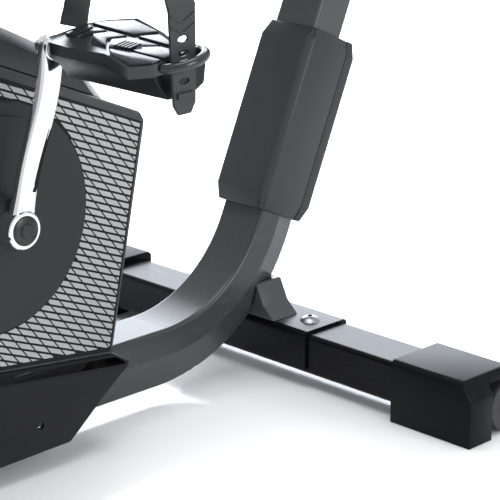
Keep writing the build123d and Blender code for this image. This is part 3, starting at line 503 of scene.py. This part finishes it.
class BIKE_OT_casing(bpy.types.Operator):
    """Builds the casing: shroud, lower case, crown, tiled side panels and crank discs"""
    bl_idname = "bike.casing"
    bl_label = "Casing"

    def execute(self, context):
        sizes = context.scene.bike_sizes
        width = sizes.edge_round * 1000
        paint_nodes(PAINTS["panel"], "side_panels")
        for side, sign in SIDES:
            rounded_copy(f"shroud_{side}", f"shroud_half_{side}", "frame", PAINTS["case"], width)
            rounded_copy(f"chin_{side}", f"lower_case_{side}", "frame", PAINTS["chin"], width)
            paint_nodes(PAINTS["disc"], f"crank_disc_{side}")
            bm = bmesh.new()
            panel_tiles(bm, sign, sizes.tile_height * 1000)
            finish_piece(f"panel_tiles_{side}", bm, "frame", [PAINTS["tile"]])
        rounded_copy("top_cover", "crown_cover", "frame", PAINTS["black"], width)
        return {"FINISHED"}


# ---------------------------------------------------------------- cranks and pedals

DECK_EDGE = [(8, 5), (-34, 9), (-49, 20), (-64, 44), (-46, 98), (-34, 124), (-37, 148), (-33, 156), (9, 156),
             (21, 152), (33, 137), (17, 90), (20, 41), (18, 16)]
DECK_PLATES = [
    [(-36, 14), (-46, 23), (-59, 45), (-46, 91), (-30.5, 75)],
    [(-28.5, 84), (-41, 99), (-31, 123), (-33, 148), (-25, 149), (-24, 131)],
    [(-32, 13), (-30, 21), (-5, 23), (-6, 11)],
    [(-29.5, 27), (-27.5, 43), (-16, 31), (-3, 29)],
    [(-27, 50), (-25.5, 72), (-13, 60), (1, 74), (-1, 52), (-15, 38)],
    [(-24, 80), (-12.5, 66), (3, 80), (0, 104), (-12, 106), (-20, 121)],
    [(6, 84), (15, 96), (26, 134), (15, 149), (6, 150), (3, 110)],
    [(-17, 122), (-9, 108), (0, 108), (2, 150), (-18, 150)],
]
HORN = [(10, 157, 8), (7, 166, 9), (-3, 173, 10), (-16, 174, 10), (-29, 168, 10), (-37, 156, 9), (-37, 142, 8)]
STRAP_PATH = [(-19, 7, 15), (-26, 7, 30), (-32, 12, 52), (-36, 32, 84), (-32, 64, 101), (-27, 100, 102),
              (-22, 134, 92), (-18, 154, 74), (-16, 161, 54)]


def smooth_path(points, steps=6):
    """Points along a smooth curve through the given ones."""
    points = [Vector(p) for p in points]
    ends = [points[0] * 2 - points[1]] + points + [points[-1] * 2 - points[-2]]
    out = []
    for a, b, c, d in zip(ends, ends[1:], ends[2:], ends[3:]):
        for step in range(steps):
            t = step / steps
            out.append(0.5 * (2 * b + (c - a) * t + (2 * a - 5 * b + 4 * c - d) * t ** 2
                              + (3 * b - 3 * c + d - a) * t ** 3))
    out.append(points[-1])
    return out


def band(bm, points, width, thickness):
    """A flat band swept along points, its width lying along X."""
    loops = []
    for before, point, after in zip([points[0]] + points, points, points[1:] + [points[-1]]):
        heading = (after - before).normalized()
        across = (Vector((1, 0, 0)) - heading * heading.x).normalized()
        outward = heading.cross(across)
        spots = [point + across * (s * width / 2) + outward * (t * thickness / 2)
                 for s, t in ((-1, -1), (1, -1), (1, 1), (-1, 1))]
        verts = [bm.verts.new(spot) for spot in spots]
        loops.append([bm.edges.new((verts[i], verts[i - 1])) for i in range(4)])
    for first, second in zip(loops, loops[1:]):
        bmesh.ops.bridge_loops(bm, edges=first + second)
    for loop in (loops[0], loops[-1]):
        bmesh.ops.contextual_create(bm, geom=loop)


def pierced(bm, outline, holes, place, low, high):
    """A slab with holes through it, drawn in place's X and Y."""
    edges = []
    for loop in [outline] + holes:
        verts = [bm.verts.new(place @ Vector((u, v, low))) for u, v in loop]
        edges += [bm.edges.new((verts[i - 1], verts[i])) for i in range(len(verts))]
    faces = [f for f in bmesh.ops.triangle_fill(bm, use_beauty=True, use_dissolve=False, edges=edges)["geom"]
             if isinstance(f, bmesh.types.BMFace)]
    grown = bmesh.ops.extrude_face_region(bm, geom=faces)["geom"]
    top = [item for item in grown if isinstance(item, bmesh.types.BMVert)]
    bmesh.ops.translate(bm, verts=top, vec=place.to_3x3() @ Vector((0, 0, high - low)))


def oval(u, v, half_u, half_v, count=12):
    """The corners of an oval about (u, v)."""
    return [(u + half_u * math.cos(2 * math.pi * i / count), v + half_v * math.sin(2 * math.pi * i / count))
            for i in range(count)]


def move_to(bm, place):
    """Moves a whole mesh to its place."""
    bmesh.ops.transform(bm, matrix=place, verts=bm.verts)


def pedal_deck(bm):
    """The pedal's moulded top: a rimmed deck with raised tread plates and a strap loop at its outer end."""
    level = Matrix.Identity(4)
    top = slab(bm, DECK_EDGE, level, 3, 14)
    face = next(f for f in bm.faces if set(f.verts) == set(top))
    bmesh.ops.inset_region(bm, faces=[face], thickness=3.2, use_even_offset=True)
    bmesh.ops.translate(bm, verts=list(face.verts), vec=(0, 0, -2.0))
    soften(bm, rims(top), 1.2)
    for outline in DECK_PLATES:
        crest = slab(bm, outline, level, 9, 14.4)
        soften(bm, rims(crest), 0.9, 2)
    for rib in range(5):
        y = 84.0 + 4.6 * rib
        crest = slab(bm, [(-13, y), (1, y), (1, y + 2.6), (-13, y + 2.6)], level, 12, 16.0)
        soften(bm, rims(crest), 0.5, 1)
    tube(bm, smooth_path(HORN, 4), 4.6, 14)


def pedal_body(bm):
    """The dark body under the deck, with the tube that runs on the spindle."""
    section = [(17, 3.2), (-50, 3.2), (-42, -22), (-30, -27), (2, -25)]
    upright = Matrix(((1, 0, 0, 0), (0, 0, 1, 0), (0, 1, 0, 0), (0, 0, 0, 1)))
    slab(bm, section, upright, 14, 148)
    soften(bm, [e for e in bm.edges if e.calc_length() > 20], 2.0)
    ring = [(6.1, 6), (11.5, 6), (12, 7), (12, 16), (6.1, 16)]
    before = set(bm.verts)
    line = [bm.verts.new((r, 0, h)) for r, h in ring]
    edges = [bm.edges.new((line[i - 1], line[i])) for i in range(len(line))]
    bmesh.ops.spin(bm, geom=line + edges, cent=(0, 0, 0), axis=(0, 0, 1), angle=2 * math.pi, steps=32,
                   use_merge=True, use_duplicate=False)
    made = [v for v in bm.verts if v not in before]
    bmesh.ops.transform(bm, matrix=Matrix.Rotation(-math.pi / 2, 4, "X"), verts=made)


def pedal_band(bm):
    """The foot strap: an arched band with a slotted tail outside the deck."""
    band(bm, smooth_path(STRAP_PATH, 5), 30.0, 2.6)
    hang = tilted((-16, 159.7, 56), (0.988, 0, 0.15), (0, 1, 0))
    slots = [oval(0, 28 + 12 * n, 6.2, 3.0) for n in range(4)]
    tail = [(-15, 0), (15, 0), (14.5, 20), (13.5, 60), (12.5, 84), (7, 93), (-7, 93), (-12.5, 84), (-13.5, 60),
            (-14.5, 20)]
    pierced(bm, tail, slots, hang, 0, 2.6)
    for place in (6.0, 15.0):
        slab(bm, [(-13.5, place), (0, place + 7), (13.5, place), (13.5, place + 2), (0, place + 9),
                  (-13.5, place + 2)], hang, 2.5, 3.5)
    slab(bm, [(-9, 74), (9, 74), (9, 78.5), (-9, 78.5)], hang, 2.5, 5.0)


# Along the arm, forward, outward, width and depth of each section.
CRANK_SECTIONS = [(-13, 0, 109, 10, 12), (-9, 0, 109, 22, 13.5), (0, 0, 109, 28, 14), (14, 0, 109, 26, 14),
                  (30, 0, 109.3, 23, 14), (58, 0, 110.6, 23, 14), (84, -1.4, 114, 23.5, 13.6),
                  (108, -3, 117.5, 24, 13.2), (134, -3.6, 119.3, 24, 13), (156, -2, 119.4, 25, 13),
                  (170, 0, 119.4, 25, 13), (179, 0, 119.4, 20, 12.6), (183, 0, 119.4, 9, 11.5)]


def crank_bar(bm):
    """The crank arm in its own frame: Z along the arm, X forward, Y outward."""
    loops = []
    for along, ahead, out, width, depth in CRANK_SECTIONS:
        wide, deep = width / 2, depth / 2
        spots = [(wide, -deep + 3), (wide, deep - 3), (wide - 3, deep), (-wide + 3, deep), (-wide, deep - 3),
                 (-wide, -deep + 3), (-wide + 3, -deep), (wide - 3, -deep)]
        verts = [bm.verts.new((ahead + x, out + y, along)) for x, y in spots]
        loops.append([bm.edges.new((verts[i - 1], verts[i])) for i in range(len(verts))])
    for first, second in zip(loops, loops[1:]):
        bmesh.ops.bridge_loops(bm, edges=first + second)
    for loop in (loops[0], loops[-1]):
        bmesh.ops.contextual_create(bm, geom=loop)


def crank_fittings(bm):
    """The boss on the axle side and the pedal eye's collar."""
    outward = Matrix.Rotation(-math.pi / 2, 4, "X")
    lathe(bm, outward, [(0, 98), (17.6, 98), (18.4, 98.8), (18.4, 116.4), (17.4, 117.6), (14.8, 118), (0, 118)], 40)
    lathe(bm, outward @ Matrix.Translation((0, -CRANK_LENGTH, 0)),
          [(0, 112), (10.5, 112), (11, 112.6), (11, 126.6), (10.4, 127.2), (0, 127.2)], 32)


def crank_flute_shade(bm):
    """A thin black sheet laid on the arm's outer face: painted shade standing in for the flute's dark line."""
    line = [(36, -3.5, -7.5, 116.2), (42, -3.8, -8.8, 116.3), (58, -5.6, -9.0, 117.7), (74, -7.4, -9.6, 119.8),
            (96, -10.2, -10.8, 123.2)]
    rows = [[bm.verts.new((left, out + 0.25, along)), bm.verts.new((right, out + 0.25, along))]
            for along, left, right, out in line]
    for first, second in zip(rows, rows[1:]):
        bm.faces.new((first[0], first[1], second[1], second[0]))
    grown = bmesh.ops.extrude_face_region(bm, geom=bm.faces[:])["geom"]
    bmesh.ops.translate(bm, verts=[v for v in grown if isinstance(v, bmesh.types.BMVert)], vec=(0, -1.2, 0))


def crank_cap(bm):
    """The plug over the axle's screw."""
    outward = Matrix.Rotation(-math.pi / 2, 4, "X")
    lathe(bm, outward, [(0, 121.9), (6.5, 121.9), (7.4, 121.2), (7.7, 120.4), (12.8, 120), (14.2, 119),
                        (14.4, 117.8), (0, 117.8)], 32)


class BIKE_OT_pedals(bpy.types.Operator):
    """Builds the cranks, pedals and foot straps"""
    bl_idname = "bike.pedals"
    bl_label = "Cranks and pedals"

    def execute(self, context):
        for side, sign in SIDES:
            turn = -CRANK_LEAN if sign > 0 else math.pi - CRANK_LEAN
            arm = (Matrix.Translation((CRANK[0], 0, CRANK[1])) @ Matrix.Rotation(turn, 4, "Y")
                   @ Matrix.Diagonal((sign, sign, 1, 1)))
            for name, build, slot, paint, levels in (
                    ("bar", crank_bar, "chrome", "chrome", 2), ("fittings", crank_fittings, "chrome", "chrome", 0),
                    # The flute piece is painted shade: a black sheet on the chrome arm in place of the flute's
                    # shading.
                    ("flute_shade", crank_flute_shade, "casing_black", "void", 0),
                    ("cap", crank_cap, "casing_black", "black", 0)):
                bm = bmesh.new()
                build(bm)
                move_to(bm, arm)
                made = finish_piece(f"crank_{name}_{side}", bm, "crank", [PAINTS[paint]], levels=levels)
                if build is crank_bar:
                    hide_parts(f"crank_arm_{side}")
                if build is crank_cap:
                    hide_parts("crank_caps")
            place = pedal_place(sign)
            body = f"{side}_pedal"
            made = []
            for name, build, slot, paint in ((f"pedal_deck_{side}", pedal_deck, "pedal_plastic", "deck"),
                                             (f"pedal_body_{side}", pedal_body, "pedal_plastic", "keel"),
                                             (f"foot_strap_{side}", pedal_band, "strap_rubber", "strap")):
                bm = bmesh.new()
                build(bm)
                move_to(bm, place)
                made.append(finish_piece(name, bm, body, [PAINTS[paint]], crease=38))
            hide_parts(f"pedal_{side}")
            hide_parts(f"pedal_strap_{side}")
        return {"FINISHED"}


# ---------------------------------------------------------------- seat

SEAT_OUTLINE = [(-198, 148), (-153, 193), (148, 193), (193, 148), (193, -148), (148, -193), (-153, -193),
                (-198, -148)]
BACK_OUTLINE = [(-135, 26), (-183, 78), (-183, 365), (-132, 418), (132, 418), (183, 365), (183, 78), (135, 26)]


VOXEL = 0.006
CLOTH_STEPS = 20
HELD_DEPTH = 9           # millimetres of the pad's underside that the stuffing can't move
SEAM_DEPTH, SEAM_WIDTH = 7.0, 7.0
PIPING_RADIUS = 3.0
PIPING_CORNER = 22       # where a seam starts to round a corner


def pad_block(outline, place, low, high):
    """A plain pad with rounded upper edges, ready for stuffing."""
    bm = bmesh.new()
    top = slab(bm, outline, place, low, high)
    soften(bm, rims(top), 16, 4)
    bmesh.ops.recalc_face_normals(bm, faces=bm.faces)
    return bm


def evaluated(piece):
    """The piece's mesh with its modifiers applied."""
    graph = bpy.context.evaluated_depsgraph_get()
    graph.update()
    return bpy.data.meshes.new_from_object(piece.evaluated_get(graph))


def stuffed(name, bm, place, low, limit):
    """Swells a pad by cloth pressure, its underside held flat; returns the mesh, in metres."""
    bmesh.ops.scale(bm, vec=(0.001, 0.001, 0.001), verts=bm.verts)
    mesh = bpy.data.meshes.new(name)
    bm.to_mesh(mesh)
    bm.free()
    work = bpy.data.objects.new(name + "_work", mesh)
    bpy.context.scene.collection.objects.link(work)
    voxels = work.modifiers.new("Voxels", "REMESH")
    voxels.mode = "VOXEL"
    voxels.voxel_size = VOXEL
    grid = evaluated(work)
    work.modifiers.clear()
    work.data = grid
    rest = [vertex.co.copy() for vertex in grid.vertices]
    base = place.inverted()
    held = work.vertex_groups.new(name="held")
    held.add([v.index for v in grid.vertices if (base @ (v.co * 1000)).z < low + HELD_DEPTH], 1.0, "REPLACE")
    cloth = work.modifiers.new("Cloth", "CLOTH")
    cloth.settings.use_pressure = True
    cloth.settings.uniform_pressure_force = 4.0
    cloth.settings.effector_weights.gravity = 0.0
    cloth.settings.vertex_group_mass = "held"
    cloth.settings.quality = 5
    cloth.point_cache.frame_start = 1
    cloth.point_cache.frame_end = CLOTH_STEPS
    for step in range(1, CLOTH_STEPS + 1):
        bpy.context.scene.frame_set(step)
    swollen = evaluated(work)
    for vertex, start in zip(swollen.vertices, rest):
        move = vertex.co - start
        if move.length > limit:
            vertex.co = start + move.normalized() * limit
    work.modifiers.clear()
    bpy.context.scene.frame_set(1)
    grid = swollen
    bpy.data.objects.remove(work)
    return grid


def sew(mesh, place, lines, depth, width):
    """Presses sewn channels into the pad's face along lines given in place's X and Y."""
    base = place.inverted()
    face_way = place.to_3x3() @ Vector((0, 0, 1))
    for vertex in mesh.vertices:
        if vertex.normal.dot(face_way) < 0.35:
            continue
        spot = base @ (vertex.co * 1000)
        near = min(line_distance(Vector((spot.x, spot.y)), Vector(a), Vector(b)) for a, b in lines)
        vertex.co -= face_way * (0.001 * depth * math.exp(-(near / width) ** 2))


def line_distance(point, a, b):
    """How far a point is from the line between a and b."""
    run = b - a
    part = max(0.0, min(1.0, (point - a).dot(run) / run.length_squared))
    return (point - a - run * part).length


def seat_piece(name, mesh, node, place, lines):
    """Finishes a stuffed pad as a padded, upholstered piece."""
    sew(mesh, place, lines, SEAM_DEPTH, SEAM_WIDTH)
    mesh.materials.clear()
    mesh.materials.append(PAINTS["vinyl"])
    mesh.polygons.foreach_set("use_smooth", [True] * len(mesh.polygons))
    pad = bpy.data.objects.new(name, mesh)
    bpy.context.scene.collection.objects.link(pad)
    soft = pad.modifiers.new("Softening", "SMOOTH")
    soft.factor = 0.5
    soft.iterations = 4
    rounder = pad.modifiers.new("Rounding", "SUBSURF")
    rounder.levels = rounder.render_levels = 1
    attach(pad, "seat")
    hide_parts(node)


def piping(name, outline, place, height, grow):
    """A corded seam that follows the pad's edge."""
    middle = Vector((sum(p[0] for p in outline), sum(p[1] for p in outline))) / len(outline)
    corners = []
    for x, y in outline:
        spot = Vector((x, y))
        away = (spot - middle).normalized() * grow
        corners.append((x + away.x, y + away.y, height))
    loop = []
    count = len(corners)
    for i in range(count):
        before, corner, after = (Vector(corners[i - 1]), Vector(corners[i]), Vector(corners[(i + 1) % count]))
        first = corner + (before - corner).normalized() * PIPING_CORNER
        last = corner + (after - corner).normalized() * PIPING_CORNER
        for step in range(5):
            t = step / 4
            loop.append(first * (1 - t) ** 2 + corner * 2 * t * (1 - t) + last * t * t)
    bm = bmesh.new()
    tube(bm, [place @ p for p in loop], PIPING_RADIUS, 10, closed=True)
    finish_piece(name, bm, "seat", [PAINTS["piping"]])


class BIKE_OT_seat(bpy.types.Operator):
    """Builds the stuffed seat and back cushions with their seams"""
    bl_idname = "bike.seat"
    bl_label = "Seat"

    def execute(self, context):
        limit = context.scene.bike_sizes.cushion_swell
        seat_lines = [((-120, -95), (150, -110)), ((-120, 95), (150, 110)), ((-120, -95), (-120, 95)),
                      ((-30, -101), (-30, 101)), ((60, -106), (60, 106))]
        bm = pad_block(SEAT_OUTLINE, RAIL, 72, 116)
        seat_piece("seat_pad", stuffed("seat_pad", bm, RAIL, 72, limit), "seat_cushion", RAIL, seat_lines)
        piping("seat_piping", SEAT_OUTLINE, RAIL, 80, 2)
        facing = BACK @ Matrix(((0, 0, 1, 0), (1, 0, 0, 0), (0, 1, 0, 0), (0, 0, 0, 1)))
        back_lines = [((-95, 70), (-110, 360)), ((95, 70), (110, 360)), ((-101, 150), (101, 150)),
                      ((-106, 250), (106, 250)), ((-110, 345), (110, 345))]
        bm = pad_block(BACK_OUTLINE, facing, 0.5, 44)
        seat_piece("back_pad", stuffed("back_pad", bm, facing, 0.5, limit), "back_cushion", facing, back_lines)
        piping("back_piping", BACK_OUTLINE, facing, 8, 2)
        return {"FINISHED"}


# ---------------------------------------------------------------- console

# Each bar of a figure: its place across and up, and whether it lies flat.
DIGIT_BARS = {
    "a": (0, 1, True), "b": (1, 0.5, False), "c": (1, -0.5, False), "d": (0, -1, True), "e": (-1, -0.5, False),
    "f": (-1, 0.5, False), "g": (0, 0, True),
}
DIGITS = {"0": "abcdef", "1": "bc", "2": "abged", "3": "abgcd", "4": "fgbc", "5": "afgcd"}
FIGURE_LAYER = (13.4, 13.7)


def console_digit(bm, mark, x, y, size):
    """One figure of up to seven bars; the console's X points to the rider's left and its Y down its face."""
    for bar in DIGITS[mark]:
        u, v, flat = DIGIT_BARS[bar]
        half_u, half_v = (size * 0.36, size * 0.07) if flat else (size * 0.07, size * 0.36)
        cx, cy = -x - u * size * 0.45, y - v * size * 0.9
        slab(bm, [(cx - half_u, cy - half_v), (cx + half_u, cy - half_v), (cx + half_u, cy + half_v),
                  (cx - half_u, cy + half_v)], CONSOLE, *FIGURE_LAYER)


class BIKE_OT_console(bpy.types.Operator):
    """Builds the console's housing, display and keys"""
    bl_idname = "bike.console"
    bl_label = "Console"

    def execute(self, context):
        width = context.scene.bike_sizes.edge_round * 1000
        rounded_copy("console_front", "console_fascia", "frame", PAINTS["black"], width)
        rounded_copy("console_back", "console_shell", "frame", PAINTS["case"], width)
        paint_nodes(PAINTS["glass"], "display_lens")
        paint_nodes(PAINTS["key"], "key_up", "key_down")
        bm = bmesh.new()
        for place, mark in zip((-62, -36, -2, 24), "1025"):
            console_digit(bm, mark, place, -34, 16)
        for place, mark in zip((-70, -56, -20, -6, 40, 54), "201304"):
            console_digit(bm, mark, place, 12, 8)
        for step in range(9):
            x = -50 - step * 4.2
            slab(bm, [(x, -22), (x - 2.8, -22), (x - 2.8, -24 - 3 * step), (x, -24 - 3 * step)], CONSOLE,
                 *FIGURE_LAYER)
        finish_piece("display_figures", bm, "frame", [PAINTS["glow"]])
        for name, x, way in (("key_up", -60, -1), ("key_down", 60, 1)):
            bm = bmesh.new()
            slab(bm, [(x - 5, 58 - way * 3), (x + 5, 58 - way * 3), (x, 58 + way * 5)], CONSOLE, 17.9, 18.2)
            finish_piece(f"{name}_arrow", bm, name, [PAINTS["void"]])
        bm = bmesh.new()
        for side in (-1, 1):
            outline = [(side * 100, -58), (side * 118, -58), (side * 124, 30), (side * 100, 44)]
            slab(bm, outline, CONSOLE, 13.9, 14.6)
        finish_piece("console_side_trims", bm, "frame", [PAINTS["case"]])
        return {"FINISHED"}


# ---------------------------------------------------------------- hardware

def dome_bolt(bm, place, radius):
    """A dome head on a washer."""
    lathe(bm, place, [(0, 4.6), (radius * 0.45, 4.4), (radius * 0.8, 3.2), (radius, 1.4), (radius, 0.8),
                      (radius * 1.35, 0.8), (radius * 1.4, 0.2), (radius * 1.4, -0.6), (0, -0.6)], 24)


class BIKE_OT_hardware(bpy.types.Operator):
    """Adds the mast's screws and the rail's end plugs"""
    bl_idname = "bike.hardware"
    bl_label = "Hardware"

    def execute(self, context):
        bm = bmesh.new()
        for side in (-1, 1):
            turn = Matrix.Rotation(-side * math.pi / 2, 4, "X")
            for up in (70, 460):
                dome_bolt(bm, MAST @ Matrix.Translation((0, side * 30, up)) @ turn, 6)
        finish_piece("frame_screws", bm, "frame", [PAINTS["steel"]])
        bm = bmesh.new()
        for ends in (-204, 266):
            slab(bm, [(-29, -19), (29, -19), (29, 19), (-29, 19)],
                 RAIL @ tilted((ends, 0, 0), (0, 1, 0), (math.copysign(1, ends), 0, 0)), -3, 5)
        soften(bm, bm.edges, 1.5)
        finish_piece("rail_plugs", bm, "frame", [PAINTS["black"]])
        return {"FINISHED"}


# ---------------------------------------------------------------- stage

class BIKE_OT_stage(bpy.types.Operator):
    """Sets the floor, the lights and the camera"""
    bl_idname = "bike.stage"
    bl_label = "Stage"

    def execute(self, context):
        scene = context.scene
        bm = bmesh.new()
        bmesh.ops.create_circle(bm, segments=64, radius=25, cap_ends=True)
        mesh = bpy.data.meshes.new("studio_floor")
        bm.to_mesh(mesh)
        bm.free()
        floor = bpy.data.objects.new("studio_floor", mesh)
        scene.collection.objects.link(floor)
        mesh.materials.append(floor_material())
        world = bpy.data.worlds.new("Studio")
        world.use_nodes = True
        sky = next(node for node in world.node_tree.nodes if node.type == "BACKGROUND")
        sky.inputs["Color"].default_value = (0.93, 0.96, 1.0, 1)
        sky.inputs["Strength"].default_value = 0.75
        scene.world = world
        soft_light("Overhead", (0.0, 0.0, 3.6), (0.0, 0, 0.3), 2.6, 90)
        soft_light("Left key", (-0.2, 3.4, 1.5), (0.1, 0, 0.3), 1.8, 60)
        soft_light("Far wall", (-3.1, -3.1, 1.9), (0.0, 0.0, 0.35), 3.6, 210, (0.86, 0.92, 1.0))
        data = bpy.data.cameras.new("Camera")
        data.lens = scene.bike_sizes.lens
        data.sensor_width = 36.0
        data.shift_x = -0.0216
        data.shift_y = 0.0686
        data.clip_end = 100
        camera = bpy.data.objects.new("Camera", data)
        camera.location = (1.3805, 1.489, 0.791)
        camera.rotation_euler = Vector((-0.673, -0.669, -0.315)).to_track_quat("-Z", "Y").to_euler()
        scene.collection.objects.link(camera)
        scene.camera = camera
        scene.view_settings.view_transform = "Standard"
        return {"FINISHED"}


def floor_material():
    """A pale, glossy floor."""
    material = bpy.data.materials.new("Studio floor")
    material.use_nodes = True
    shader = next(node for node in material.node_tree.nodes if node.type == "BSDF_PRINCIPLED")
    shader.inputs["Base Color"].default_value = (0.93, 0.93, 0.935, 1)
    shader.inputs["Roughness"].default_value = 0.12
    shader.inputs["Coat Weight"].default_value = 0.0
    return material


def soft_light(name, place, target, size, power, color=(1, 1, 1)):
    """A square soft box that faces a point."""
    data = bpy.data.lights.new(name, "AREA")
    data.size = size
    data.energy = power
    data.color = color
    light = bpy.data.objects.new(name, data)
    light.location = place
    light.visible_camera = False
    light.rotation_euler = (Vector(target) - Vector(place)).to_track_quat("-Z", "Y").to_euler()
    bpy.context.scene.collection.objects.link(light)


# ---------------------------------------------------------------- add-on

class BIKE_PT_panel(bpy.types.Panel):
    """Shows the bike's colour and size settings and its build buttons in the sidebar"""
    bl_idname = "BIKE_PT_panel"
    bl_label = "Recumbent bike"
    bl_space_type = "VIEW_3D"
    bl_region_type = "UI"
    bl_category = "Bike"

    def draw(self, context):
        layout = self.layout
        for group in (context.scene.bike_colors, context.scene.bike_sizes):
            box = layout.box()
            for name in group.bl_rna.properties.keys():
                if name not in ("rna_type", "name"):
                    box.prop(group, name)
        for operator in OPERATORS:
            layout.operator(operator.bl_idname)


OPERATORS = (BIKE_OT_frame, BIKE_OT_post_cover, BIKE_OT_casing, BIKE_OT_pedals, BIKE_OT_seat, BIKE_OT_console,
             BIKE_OT_hardware, BIKE_OT_stage)
CLASSES = (BikeColors, BikeSizes) + OPERATORS + (BIKE_PT_panel,)


def register():
    for cls in CLASSES:
        bpy.utils.register_class(cls)
    bpy.types.Scene.bike_colors = bpy.props.PointerProperty(type=BikeColors)
    bpy.types.Scene.bike_sizes = bpy.props.PointerProperty(type=BikeSizes)


def unregister():
    del bpy.types.Scene.bike_sizes
    del bpy.types.Scene.bike_colors
    for cls in reversed(CLASSES):
        bpy.utils.unregister_class(cls)


def main():
    register()
    for operator in OPERATORS:
        name = operator.bl_idname.split(".")[1]
        getattr(bpy.ops.bike, name)()


if __name__ == "__main__":
    main()
